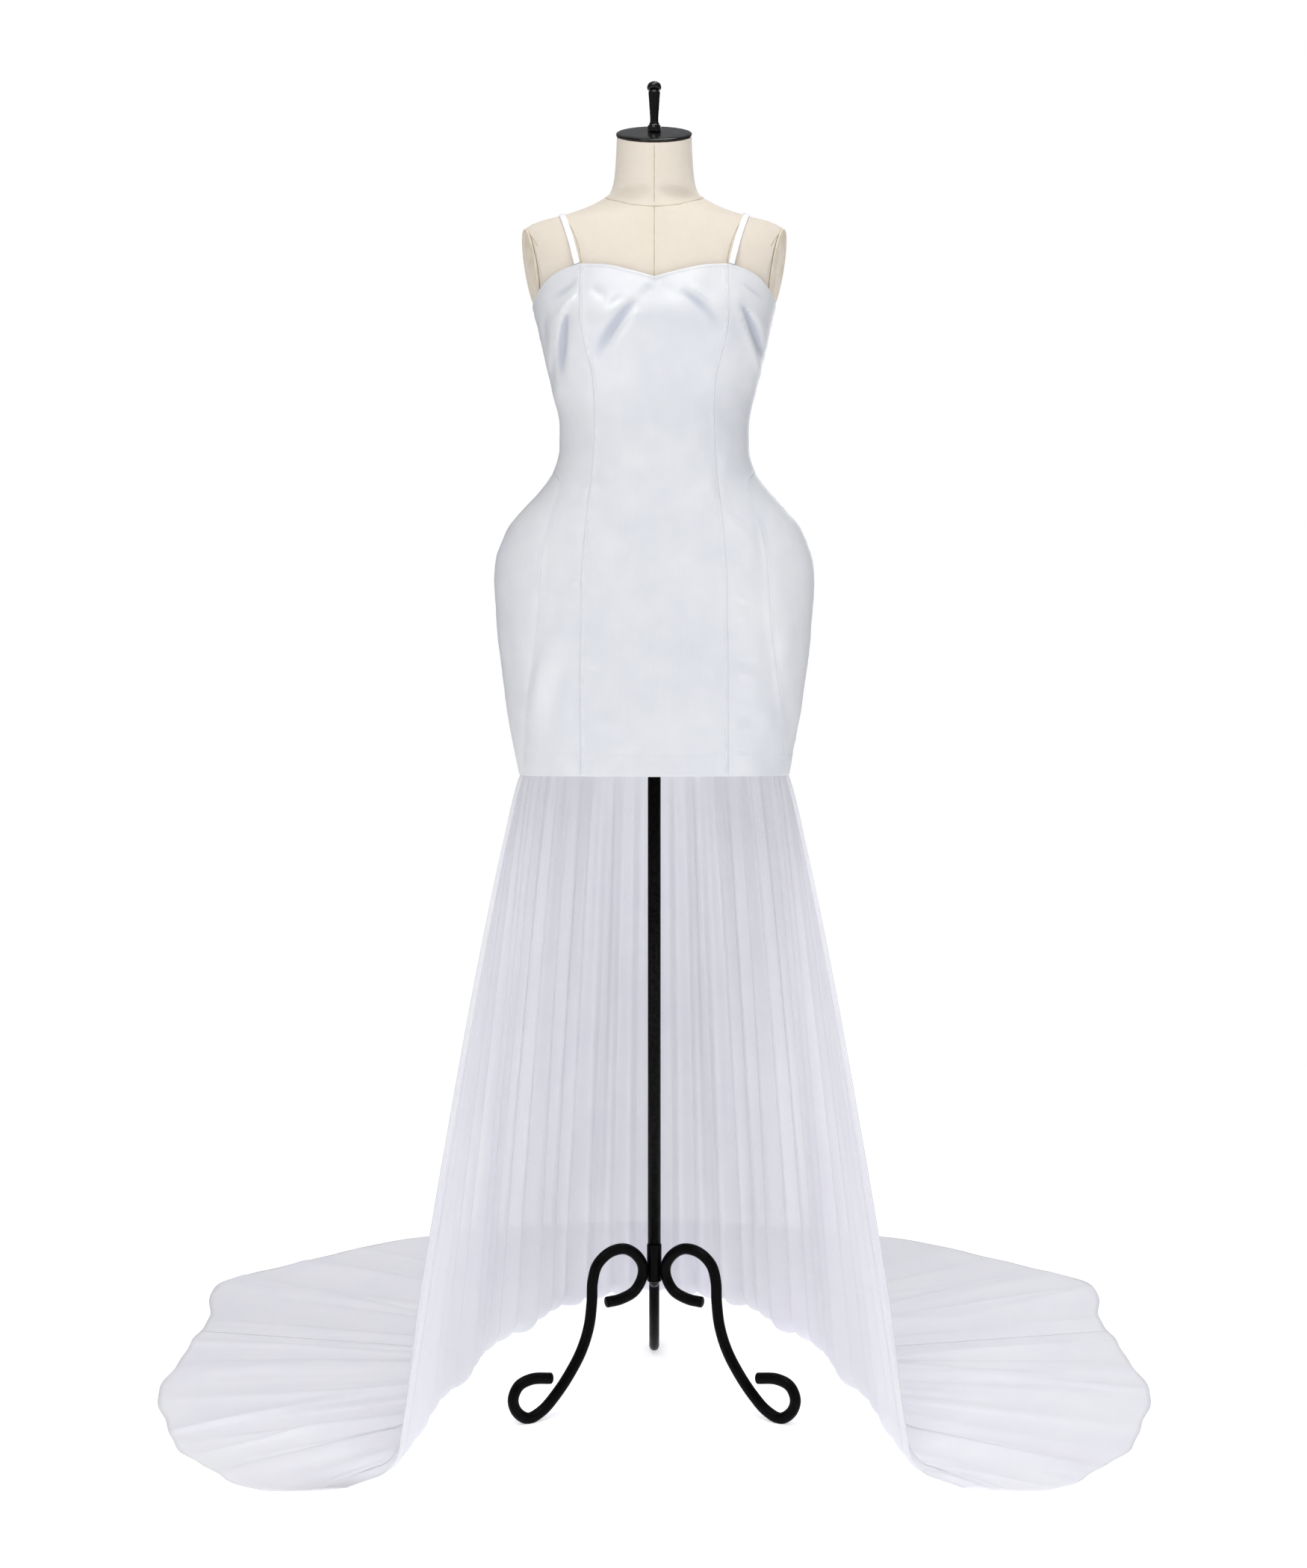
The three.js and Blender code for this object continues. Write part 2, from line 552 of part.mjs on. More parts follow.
// Pole, sleeve and the three scroll legs
function buildStand() {
  const round = (radius, fromZ, toZ) => {
    const bar = new THREE.CylinderGeometry(radius, radius, toZ - fromZ, ROUND_SIDES);
    bar.rotateX(Math.PI / 2);
    bar.translate(0, 0, (fromZ + toZ) / 2);
    return geometryOf(solid(bar));
  };
  add("pole", round(POLE_RADIUS, SLEEVE.topZ + SEAM_GAP, FORM[0].z - SEAM_GAP), finish("#101214", 0.35, 0.4));
  add("stand_sleeve", round(SLEEVE.radius, SLEEVE.bottomZ, SLEEVE.topZ), finish("#0e1012", 0.3, 0.4));
  const ground = blockBeyond(new THREE.Vector3(0, 0, 0), new THREE.Vector3(0, 0, -1));
  for (const [name, degrees] of Object.entries(LEG_TURNS)) {
    const turn = degrees * Math.PI / 180;
    const line = LEG_LINE.map(({ r, z }) => new THREE.Vector3(-r * Math.sin(turn), -r * Math.cos(turn), z - ROD.sink));
    const section = new THREE.Shape();
    section.absellipse(0, 0, ROD.radius, ROD.radius, 0, 2 * Math.PI, false, Math.PI / ROD.sides);
    const rod = new THREE.ExtrudeGeometry(section, {
      steps: ROD.steps,
      curveSegments: ROD.sides / 2,
      bevelEnabled: false,
      extrudePath: new THREE.CatmullRomCurve3(line, false, "centripetal"),
    });
    add(name, geometryOf(solid(rod).subtract(ground)), finish("#101214", 0.35, 0.4));
  }
}

// The net's folds at a place along the gathered edge: how high this one stands, and where the place is in it,
// from 0 in the valley to 1 on the ridge
function foldAt(share) {
  const fold = share * 2 * NET_FOLDS;
  return {
    height: 0.72 + 0.28 * Math.sin(Math.floor(fold) * 2.3),
    hang: 0.5 - 0.5 * Math.cos(2 * Math.PI * fold),
  };
}

// A curve through the train's floor points, and the point on it at a share of the gathered edge
function floorCurve(keyX, keyY) {
  const curve = new THREE.CatmullRomCurve3(TRAIN.map((row) => new THREE.Vector3(row[keyX], row[keyY], 0)));
  const last = TRAIN.length - 1;
  const numbered = TRAIN.map(({ share }, place) => ({ share, place }));
  return (share) => curve.getPoint(rowAt(numbered, "share", share).place / last);
}

// Points of the net down one line, from the hem to the outer edge on the floor: the underside and its facing
function netLine(share, landing, edge) {
  const land = landing(share);
  const end = edge(share);
  const turn = -mix(NET_START_ANGLE, Math.PI, share);
  const hemFacing = outward(DRESS, turn, HEM_Z).setZ(0).normalize();
  const hem = sectionPoint(DRESS, turn, HEM_Z).addScaledVector(hemFacing, -NET_WALL);
  const away = end.clone().sub(land).normalize();
  const { height, hang } = foldAt(share);
  // On the floor the valleys lie flat and only the middle of each fold stands up
  const lying = Math.max(0, 2 * hang - 1);
  const line = [];
  const put = (point, facing, depth, lies) => {
    const under = point.clone().addScaledVector(facing, depth * height * mix(hang, lying, lies));
    line.push([under, under.clone().addScaledVector(facing, NET_WALL)]);
  };
  for (let i = 0; i <= NET_HANG_ROWS; i += 1) {
    const t = i / NET_HANG_ROWS;
    const point = hem.clone().lerp(land, t ** NET_FLARE);
    point.z = mix(HEM_Z - SEAM_GAP, NET_BEND_RADIUS, t);
    put(point, hemFacing.clone().lerp(away, t * t).normalize(), mix(FOLD_DEPTH.hem, FOLD_DEPTH.low, Math.sqrt(t)), 0);
  }
  const floorStart = land.clone().addScaledVector(away, NET_BEND_RADIUS);
  for (let i = 1; i <= NET_BEND_ROWS; i += 1) {
    const bend = Math.PI / 2 * i / NET_BEND_ROWS;
    const facing = away.clone().multiplyScalar(Math.cos(bend)).setZ(Math.sin(bend));
    const point = floorStart.clone().addScaledVector(facing, -NET_BEND_RADIUS);
    point.z += NET_BEND_RADIUS;
    const lies = i / NET_BEND_ROWS;
    put(point, facing, mix(FOLD_DEPTH.low, FOLD_DEPTH.floor, lies), lies);
  }
  const up = new THREE.Vector3(0, 0, 1);
  for (let i = 1; i <= NET_FLOOR_ROWS; i += 1) {
    const t = i / NET_FLOOR_ROWS;
    put(floorStart.clone().lerp(end, t), up, mix(FOLD_DEPTH.floor, FOLD_DEPTH.edge, t), 1);
  }
  return line;
}

// One width of net between two shares of the gathered edge, on the -X side (sign -1) or mirrored
function netWidth(name, from, to, sign) {
  const landing = floorCurve("landX", "landY");
  const edge = floorCurve("edgeX", "edgeY");
  const lines = spread(NET_COLUMNS, (t) => netLine(mix(from, to, t), landing, edge));
  const side = (which) => lines[0].map((_, i) => lines.map((line) => {
    const point = line[i][which].clone();
    point.x *= -sign;
    return point;
  }));
  const outer = side(1);
  const inner = side(0);
  drawBack(outer);
  drawBack(inner);
  add(name, wall(outer, inner), finish("#eceaf5", 0.8));
}

function buildNet() {
  for (const [hand, sign] of [["left", -1], ["right", 1]]) {
    netWidth(`net_front_${hand}`, 0, 0.5, sign);
    netWidth(`net_back_${hand}`, 0.5, 1, sign);
  }
}

buildSatin();
buildStrap("strap_left", -1);
buildStrap("strap_right", 1);
buildZip();
buildForm();
buildStand();
buildNet();

// The origin is the middle of the whole object's footprint, on the floor
const box = new THREE.Box3().setFromObject(model);
const middle = box.getCenter(new THREE.Vector3());
model.position.set(-middle.x, -middle.y, -box.min.z);
const whole = new THREE.Group();
whole.add(model);

export default whole;
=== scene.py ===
import math

import bmesh
import bpy
import numpy as np
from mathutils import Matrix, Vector


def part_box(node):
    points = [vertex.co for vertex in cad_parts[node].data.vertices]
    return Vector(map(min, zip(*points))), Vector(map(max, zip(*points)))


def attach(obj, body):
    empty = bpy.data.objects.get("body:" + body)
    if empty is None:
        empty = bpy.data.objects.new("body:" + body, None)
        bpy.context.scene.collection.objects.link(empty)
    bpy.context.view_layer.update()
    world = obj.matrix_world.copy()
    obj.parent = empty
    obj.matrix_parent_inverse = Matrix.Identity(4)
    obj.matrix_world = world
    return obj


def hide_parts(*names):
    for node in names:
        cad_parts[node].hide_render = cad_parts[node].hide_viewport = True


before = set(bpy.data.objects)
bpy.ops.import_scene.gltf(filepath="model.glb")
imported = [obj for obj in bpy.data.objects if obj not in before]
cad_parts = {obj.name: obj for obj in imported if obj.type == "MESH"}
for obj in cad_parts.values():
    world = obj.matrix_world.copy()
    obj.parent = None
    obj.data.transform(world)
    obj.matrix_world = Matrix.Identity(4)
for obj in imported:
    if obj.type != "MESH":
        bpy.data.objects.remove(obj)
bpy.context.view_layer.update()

# Cloth and body sizes are in millimetres, round the stand's pole: x = y = 0 on its axis, the front faces -Y
MM = 0.001
pole_low, pole_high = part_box("pole")
POLE_X = (pole_low.x + pole_high.x) / 2
POLE_Y = (pole_low.y + pole_high.y) / 2
POLE_PLACE = np.array([POLE_X, POLE_Y, 0.0])

# The photograph's view: the camera's distance from the pole, its height, and where its axis meets the picture
PHOTO_HEIGHT = 2100
PHOTO_MIDDLE = (875, 1050)
AXIS_PIXEL = (876, 980)
MM_PER_PIXEL = 1.04
CAMERA_DISTANCE = 2500
CAMERA_Z = 925
SENSOR = 36

# Heights of the dress's hem, of the rows where its panels bend to their top edges, and of those edges
HEM_Z = 865
BODICE_Z = 1440
SIDE_TOP_Z = 1514
BACK_TOP_Z = 1492
BACK_DIP_TURN = 0.7
HIP_ROW_Z = 1230
HIP_TOP_Z = (1262, 1288)
SATIN_THICK = 1.1
NET_THICK = 0.7
# The angle of the side seams, from the middle front
SIDE = math.pi / 2


def eased(keys, values, where):
    """The values at places between the keys, on a smooth curve that never overshoots them."""
    steps = np.diff(keys)
    slopes = np.diff(values) / steps
    same_way = slopes[:-1] * slopes[1:] > 0
    total = np.where(same_way, slopes[:-1] + slopes[1:], 1)
    bends = np.where(same_way, 2 * slopes[:-1] * slopes[1:] / total, 0)
    tangents = np.concatenate([slopes[:1], bends, slopes[-1:]])
    i = np.clip(np.searchsorted(keys, where, side="right") - 1, 0, len(steps) - 1)
    t = np.clip((where - keys[i]) / steps[i], 0, 1)
    rise = (3 - 2 * t) * t * t
    leave = t * (1 - t) ** 2 * steps[i]
    arrive = -t * t * (1 - t) * steps[i]
    return mix(values[i], values[i + 1], rise) + leave * tangents[i] + arrive * tangents[i + 1]


class Table:
    """Rows of named columns, in order of the first one, read smoothly between the rows."""

    def __init__(self, names, rows):
        columns = np.array(rows, float).T
        self.keys = columns[0]
        self.columns = dict(zip(names, columns))

    def at(self, name, where):
        return eased(self.keys, self.columns[name], np.asarray(where, float))


# The dress at each height: half width, depth to the front and to the back, squareness (2 is an ellipse),
# and how far the princess seam and the hip seam lie from the middle
DRESS = Table(("z", "half", "front", "back", "power", "princess", "hip"), [
    (865, 187, 118, 124, 2.3, 99, 179),
    (915, 197, 117, 126, 2.3, 99, 176),
    (967, 206, 116, 127, 2.3, 99, 172),
    (1033, 215, 114, 127, 2.25, 99, 162),
    (1088, 220, 112, 126, 2.2, 98, 156),
    (1135, 223, 110, 123, 2.15, 98, 154),
    (1161, 221, 108, 120, 2.1, 96, 152),
    (1188, 213, 106, 116, 2.05, 94, 147),
    (1210, 203, 104, 112, 2, 92, 142),
    (1230, 186, 102, 107, 2, 90, 136),
    (1262, 157, 98, 99, 2.05, 86, 128),
    (1288, 140, 96, 93, 2.1, 84, 140),
    (1319, 132, 95, 88, 2.15, 82, 132),
    (1349, 132, 97, 87, 2.15, 82, 132),
    (1399, 142, 106, 92, 2.2, 84, 142),
    (1440, 152, 118, 98, 2.3, 91, 152),
    (1480, 161, 126, 102, 2.4, 98, 161),
    (1515, 169, 121, 103, 2.35, 99, 169),
    (1550, 172, 112, 100, 2.3, 100, 172),
])
# The sweetheart neckline: distance from the middle and height
NECKLINE = Table(("x", "z"), [
    (0, 1530), (30, 1539.5), (67, 1548.5), (100, 1552), (133, 1544), (156, 1528), (169, SIDE_TOP_Z),
])
# The dress form at each height
FORM = Table(("z", "half", "front", "back", "power"), [
    (950, 158, 96, 106, 2.1),
    (1010, 165, 99, 112, 2.1),
    (1100, 167, 100, 112, 2.1),
    (1160, 163, 98, 106, 2.1),
    (1210, 152, 94, 98, 2.1),
    (1250, 136, 92, 90, 2.1),
    (1290, 128, 90, 84, 2.1),
    (1334, 127, 91, 81, 2.1),
    (1390, 134, 99, 86, 2.15),
    (1440, 146, 112, 92, 2.25),
    (1480, 155, 120, 96, 2.35),
    (1510, 161, 115, 97, 2.3),
    (1530, 168, 108, 97, 2.25),
    (1550, 180, 101, 96, 2.2),
    (1590, 190, 84, 91, 2.2),
    (1612, 188, 75, 87, 2),
    (1626, 178, 69, 83, 1.7),
    (1634, 162, 66, 80, 1.5),
    (1642, 134, 63, 77, 1.25),
    (1653, 100, 60, 72, 1.1),
    (1663, 78, 57.5, 67, 1.25),
    (1672, 62.5, 56.5, 63, 1.8),
    (1692, 56, 54.5, 58, 2),
    (1720, 53.5, 53.5, 54, 2),
    (1790, 50.5, 52, 51, 2),
])
# Where the form ends, how far the neck leans forward, and the heights of its foot and top on the axis
FORM_BOTTOM_Z = 950
FORM_TOP_Z = 1790
NECK_TILT = math.radians(27)
NECK_BASE_Z = 1671
NECK_TOP_Z = 1755
# The room between two solids that touch
SEAM_GAP = 0.3
CAP_HALF_WIDTH = 53
CAP_HALF_DEPTH = 58
CAP_THICK = 5
# The +X arm plate: the middle of its inner side, its size, how far it faces forward, and how far down
PLATE_PLACE = (169.7, -6, 1568)
PLATE_HALF_HEIGHT = 55
PLATE_HALF_DEPTH = 40
PLATE_TURN = math.radians(13)
PLATE_LEAN = math.radians(10.5)
# The profiles of the arm plate and of the cap: share of the size and height, from the inner side out
PLATE_PROFILE = [
    (0.02, 0), (0.97, 0), (0.99, 0.3), (1, 0.9), (1, 2.1), (0.985, 2.7), (0.955, 3), (0.6, 3.15), (0.02, 3.2),
]
CAP_PROFILE = [
    (0.001, 0), (0.985, 0), (1, 0.8), (1, 2.6), (0.985, 3.6), (0.95, 4.3), (0.88, 4.8), (0.7, 5), (0.001, 5),
]

# The neck handle's profile: radius and height
HANDLE_PROFILE = [
    (9.4, 1758), (9.4, 1766), (9, 1767.6), (8, 1768.6), (6.4, 1769), (6.4, 1769.6), (7, 1770), (7, 1771.4),
    (6.2, 1772), (6.2, 1778), (7, 1789), (8.7, 1812), (8.7, 1814.4), (7.6, 1815.4), (6.4, 1815.8),
    (6.4, 1817.2), (8.6, 1818), (9.8, 1819.6), (10, 1821.6), (9.4, 1824.4), (8, 1826.6), (5.2, 1828.4),
    (2.4, 1828.9), (0, 1829),
]
# The grip between these heights has eight flat sides
GRIP_Z = (1771.5, 1815)
GRIP_FLATS = 8

# Stand
POLE_RADIUS = 9
SLEEVE_RADIUS = 10.2
SLEEVE_Z = (160, 212)
ROD_RADIUS = 7.5
ROD_SINK = 1.6
LEG_TURNS = {"leg_left": 60, "leg_right": -60, "leg_back": 180}
# A leg's middle line: distance from the pole's axis and height
LEG_LINE = [
    (76, 144), (53, 145), (31, 153), (19, 171), (19, 187), (31, 204), (49, 213.5), (72, 211), (90, 197),
    (97, 176), (98.5, 147), (103, 115), (114, 85), (131, 58), (152, 33), (174, 14), (195, 7.5), (212, 20),
    (217, 37), (209, 53), (190, 59), (160, 55),
]

# The net train on the -X side: the share of the way along the gathered edge, from the open front edge to the
# middle back, where the net meets the floor and where it ends
TRAIN = np.array([
    (0, -318, -250, -376, -306),
    (0.08, -311, -190, -456, -311),
    (0.17, -298, -100, -556, -256),
    (0.27, -280, -10, -640, -150),
    (0.37, -264, 75, -690, 30),
    (0.46, -246, 145, -694, 205),
    (0.55, -224, 205, -712, 345),
    (0.63, -194, 262, -730, 520),
    (0.71, -165, 322, -632, 604),
    (0.8, -125, 375, -500, 735),
    (0.9, -68, 425, -280, 850),
    (1, 0, 450, 0, 900),
], float)
# Where the net starts beside the open front, how round it bends at the floor, how it flares on its way
# down, and how deep its folds are
NET_START = math.radians(75)
NET_FOLDS = 16
NET_BEND_RADIUS = 34
NET_FLARE = 0.86
FOLD_DEPTH = {"hem": 1.5, "low": 17, "floor": 8, "edge": 2}

# Straps: distance from the middle and height, up the chest and down the back
STRAP_WIDTH = 8
STRAP_THICK = 1.8
STRAP_LEAVE = 45
STRAP_FRONT = [(104, 1552.7), (108, 1570), (113, 1592), (119, 1612), (124, 1627), (128, 1638)]
STRAP_TOP = (190, 1643.9)
STRAP_BACK = [(128, 1637), (124, 1624), (118, 1600), (111, 1565), (105, 1528), (100, 1493)]


def mix(a, b, t):
    return a + (b - a) * t


def smooth(t):
    held = np.clip(t, 0, 1)
    return held * held * (3 - 2 * held)


def unit(vectors):
    length = np.linalg.norm(vectors, axis=-1, keepdims=True)
    return vectors / np.maximum(length, 1e-9)


def groove(away, width):
    """1 on a line and fading softly beside it, by the distance away from the line."""
    return np.exp(-((away / width) ** 2))


def section(table, angle, z):
    """Points of a body's surface. The angle runs from the middle front towards +X."""
    across = np.sin(angle)
    along = np.cos(angle)
    power = 2 / table.at("power", z)
    depth = np.where(along > 0, -table.at("front", z), table.at("back", z))
    x = table.at("half", z) * np.sign(across) * np.abs(across) ** power
    return np.stack(np.broadcast_arrays(x, depth * np.abs(along) ** power, z), axis=-1).astype(float)


def outward(table, angle, z):
    """The direction out of a body's surface, from two small steps along it."""
    turn = 0.02
    rise = 3
    side = section(table, angle + turn, z) - section(table, angle - turn, z)
    up = section(table, angle, z + rise) - section(table, angle, z - rise)
    return unit(np.cross(side, up))


def angle_at(table, distance, z):
    """The angle where a body's front surface is this far from the middle."""
    reach = np.minimum(distance / table.at("half", z), 1)
    return np.arcsin(reach ** (table.at("power", z) / 2))


def princess(z):
    """The angle of the princess seam at a height."""
    return angle_at(DRESS, DRESS.at("princess", z), z)


def hip(z):
    """The angle of the hip seam at a height."""
    return angle_at(DRESS, DRESS.at("hip", z), z)


def top_edge(angle):
    """Height of the dress's top edge at an angle round the body."""
    turn = np.abs(angle)
    back = mix(SIDE_TOP_Z, BACK_TOP_Z, smooth((turn - SIDE) / BACK_DIP_TURN))
    front = np.full_like(turn, SIDE_TOP_Z)
    for _ in range(6):
        front = NECKLINE.at("z", np.abs(section(DRESS, angle, front)[..., 0]))
    return np.where(turn > SIDE, back, front)


def curve_through(points, places):
    """Points on a centripetal curve through the given ones. A place is counted in points from the first."""
    points = np.array(points, float)
    ends = np.concatenate([[2 * points[0] - points[1]], points, [2 * points[-1] - points[-2]]])
    gaps = np.sqrt(np.linalg.norm(np.diff(ends, axis=0), axis=1))[:, None]
    places = np.asarray(places, float)
    i = np.clip(np.floor(places).astype(int), 0, len(points) - 2)
    t = (places - i)[:, None]
    a, b, c, d = ends[i], ends[i + 1], ends[i + 2], ends[i + 3]
    before, here, after = gaps[i], gaps[i + 1], gaps[i + 2]
    leave = ((b - a) / before - (c - a) / (before + here) + (c - b) / here) * here
    arrive = ((c - b) / here - (d - b) / (here + after) + (d - c) / after) * here
    return b + leave * t + (3 * (c - b) - 2 * leave - arrive) * t**2 + (2 * (b - c) + leave + arrive) * t**3


# Meshes

def new_object(name, points, faces, material):
    """A smooth-shaded mesh from points in millimetres round the pole, riding with the dress."""
    mesh = bpy.data.meshes.new(name)
    mesh.from_pydata((np.asarray(points, float) * MM + POLE_PLACE).tolist(), [], faces)
    mesh.shade_smooth()
    piece = bpy.data.objects.new(name, mesh)
    bpy.context.scene.collection.objects.link(piece)
    mesh.materials.append(material)
    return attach(piece, "dress")


def stand_for(piece, slot, *nodes):
    """Hides these nodes, which the piece stands for; the slot is not used."""
    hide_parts(*nodes)


def grid_faces(rows, columns, wrap=False):
    """Quads between the points of a grid that is listed row after row."""
    i, j = np.meshgrid(np.arange(rows - 1), np.arange(columns if wrap else columns - 1), indexing="ij")
    here = i * columns + j
    beside = i * columns + (j + 1) % columns
    return np.stack([here, beside, beside + columns, here + columns], axis=-1).reshape(-1, 4).tolist()


def closed_faces(rows, sides):
    """Quads between rings of points that are listed one after another, with a face over each end."""
    faces = grid_faces(rows, sides, wrap=True)
    faces.append(list(range(sides))[::-1])
    faces.append([(rows - 1) * sides + k for k in range(sides)])
    return faces


def full_turn(steps):
    """Angles in even steps all the way round."""
    return np.linspace(0, 2 * math.pi, steps, endpoint=False)


def spokes(turn, wide, high):
    """Directions at these angles round a line, or round one place, from the one across towards the one up."""
    return np.cos(turn)[:, None] * wide[..., None, :] + np.sin(turn)[:, None] * high[..., None, :]


def store(piece, name, values):
    """Keeps a number at each point of the mesh, for its material."""
    attribute = piece.data.attributes.new(name, "FLOAT", "POINT")
    attribute.data.foreach_set("value", np.asarray(values, np.float32).ravel())


def lay_out(piece, across, along):
    """Writes each point's place on the flat cloth, in metres, as the mesh's uv."""
    flat = np.stack([across.ravel(), along.ravel()], axis=-1) * MM
    corner = np.zeros(len(piece.data.loops), int)
    piece.data.loops.foreach_get("vertex_index", corner)
    layer = piece.data.uv_layers.new(name="cloth")
    layer.data.foreach_set("uv", flat[corner].astype(np.float32).ravel())


def cloth(name, points, material, thick, sign=1):
    """A sheet of cloth from a grid of points, thickened inwards."""
    grid = points if sign > 0 else points[:, ::-1]
    rows, columns = grid.shape[:2]
    piece = new_object(name, grid.reshape(-1, 3), grid_faces(rows, columns), material)
    across, along = run_of(grid, 1), run_of(grid, 0)
    lay_out(piece, across, along)
    solidify = piece.modifiers.new("thickness", "SOLIDIFY")
    solidify.thickness = thick * MM
    solidify.offset = -1
    return piece


def run_of(grid, axis):
    """Distance along the rows or columns of a grid, from its first point."""
    steps = np.linalg.norm(np.diff(grid, axis=axis), axis=-1)
    start = np.zeros_like(np.take(steps, [0], axis=axis))
    return np.cumsum(np.concatenate([start, steps], axis=axis), axis=axis)


def tube(name, line, radius, sides, material, chamfer=1.2):
    """A round bar along a line, its ends cut flat with a small chamfer."""
    line = np.asarray(line, float)
    ahead = unit(np.gradient(line, axis=0))
    cut = np.array([[0], [chamfer / 2], [chamfer]])
    before = line[0] + ahead[0] * cut
    after = line[-1] - ahead[-1] * cut[::-1]
    rings = np.concatenate([before, line[2:-2], after])
    narrow = radius - np.array([chamfer, chamfer * 0.3, 0])
    radii = np.concatenate([narrow, np.full(len(line) - 4, radius), narrow[::-1]])
    directions = np.concatenate([np.repeat(ahead[:1], 3, 0), ahead[2:-2], np.repeat(ahead[-1:], 3, 0)])
    side = unit(np.cross(directions, np.roll(directions, 1, axis=1) + [0.1, 0.7, 0.3]))
    for k in range(1, len(side)):
        side[k] = unit(side[k - 1] - directions[k] * np.dot(side[k - 1], directions[k]))
    other = np.cross(directions, side)
    points = rings[:, None] + spokes(full_turn(sides), side, other) * radii[:, None, None]
    return new_object(name, points.reshape(-1, 3), closed_faces(len(rings), sides), material)


def ring(name, line, radius, sides, material):
    """A round bar along a closed line."""
    ahead = unit(np.roll(line, -1, axis=0) - np.roll(line, 1, axis=0))
    out = unit(line - line.mean(axis=0))
    up = np.cross(ahead, out)
    points = (line[:, None] + spokes(full_turn(sides), out, up) * radius).reshape(-1, 3)
    quads = grid_faces(len(line) + 1, sides, wrap=True)
    faces = [[corner % len(points) for corner in face] for face in quads]
    new_object(name, points, faces, material)


def crisp(piece, degrees):
    """Leaves the piece's edges sharp where they turn more than this."""
    mesh = bmesh.new()
    mesh.from_mesh(piece.data)
    for edge in mesh.edges:
        edge.smooth = edge.calc_face_angle(0) < math.radians(degrees)
    mesh.to_mesh(piece.data)
    mesh.free()


def turned(name, profile, sides, material, place=(0, 0, 0), flats=None):
    """A body turned round the upright axis from a profile of radius and height, closed at both ends. Between
    two heights it may have flat sides instead, given as the heights and the number of flats."""
    turn = full_turn(sides)
    radius, z = np.array(profile, float).T
    radius = np.repeat(np.maximum(radius, 0.02)[:, None], sides, axis=1)
    if flats:
        (low, high), number = flats
        within = (z > low) & (z < high)
        half = math.pi / number
        radius[within] *= math.cos(half) / np.cos((turn + half) % (2 * half) - half)
    points = np.stack([
        radius * np.sin(turn),
        -radius * np.cos(turn),
        np.repeat(z[:, None], sides, axis=1),
    ], axis=-1) + np.array(place, float)
    return new_object(name, points.reshape(-1, 3), closed_faces(len(profile), sides), material)


def oval_plate(name, centre, wide, high, facing, profile, sides, material):
    """A thin oval body. Its profile gives the share of its size at each height along its facing."""
    oval = spokes(full_turn(sides), wide, high)
    points = np.array([centre + oval * share + facing * lift for share, lift in profile])
    return new_object(name, points.reshape(-1, 3), closed_faces(len(profile), sides), material)


# Materials

class Nodes:
    """Short ways to add and join shader nodes."""

    def __init__(self, tree):
        self.tree = tree

    def feed(self, socket, value):
        if isinstance(value, bpy.types.NodeSocket):
            self.tree.links.new(value, socket)
        else:
            socket.default_value = value

    def add(self, kind, settings=(), **inputs):
        """A node with its settings, its inputs given by name with _ for a space."""
        node = self.tree.nodes.new("ShaderNode" + kind)
        for name, value in dict(settings).items():
            setattr(node, name, value)
        for name, value in inputs.items():
            self.feed(node.inputs[name.replace("_", " ")], value)
        return node

    def math(self, operation, *values):
        node = self.add("Math", {"operation": operation})
        for socket, value in zip(node.inputs, values):
            self.feed(socket, value)
        return node.outputs[0]

    def scaled(self, vector, scale):
        node = self.add("VectorMath", {"operation": "MULTIPLY"})
        self.feed(node.inputs[0], vector)
        self.feed(node.inputs[1], scale)
        return node.outputs[0]

    def noise(self, vector, scale, detail=2.0):
        return self.add("TexNoise", Vector=vector, Scale=scale, Detail=detail).outputs["Fac"]

    def rising(self, value, low, high):
        """0 below low and 1 above high, smooth between them."""
        settings = {"interpolation_type": "SMOOTHSTEP"}
        node = self.add("MapRange", settings, Value=value, From_Min=low, From_Max=high)
        return node.outputs["Result"]

    def between(self, share, a, b):
        return self.add("MapRange", Value=share, To_Min=a, To_Max=b).outputs["Result"]

    def mixed(self, share, a, b):
        node = self.add("MixRGB")
        for socket, value in zip(node.inputs, (share, a, b)):
            self.feed(socket, value)
        return node.outputs[0]

    def group(self, tree, **inputs):
        return self.add("Group", {"node_tree": tree}, **inputs).outputs

    def stored(self, name):
        """A number kept at each point of the mesh."""
        return self.add("Attribute", {"attribute_name": name}).outputs["Fac"]

    def on_cloth(self):
        """The place on the flat cloth, in metres."""
        return self.add("UVMap", {"uv_map": "cloth"}).outputs[0]

    def on_object(self):
        return self.add("TexCoord").outputs["Object"]


def srgb(red, green, blue):
    """A colour as the shaders take it, from its values as seen, 0 to 255."""
    seen = [channel / 255 for channel in (red, green, blue)]
    return (*(c / 12.92 if c < 0.04 else ((c + 0.055) / 1.055) ** 2.4 for c in seen), 1)


def make_group(name, inputs, outputs):
    """An empty shader node group with named number inputs besides its place, and its ends."""
    tree = bpy.data.node_groups.new(name, "ShaderNodeTree")
    tree.interface.new_socket("Place", in_out="INPUT", socket_type="NodeSocketVector")
    for label, value in inputs.items():
        tree.interface.new_socket(label, in_out="INPUT", socket_type="NodeSocketFloat").default_value = value
    for label in outputs:
        tree.interface.new_socket(label, in_out="OUTPUT", socket_type="NodeSocketFloat")
    nodes = Nodes(tree)
    inside = tree.nodes.new("NodeGroupInput").outputs
    outside = tree.nodes.new("NodeGroupOutput").inputs
    return tree, nodes, inside, outside


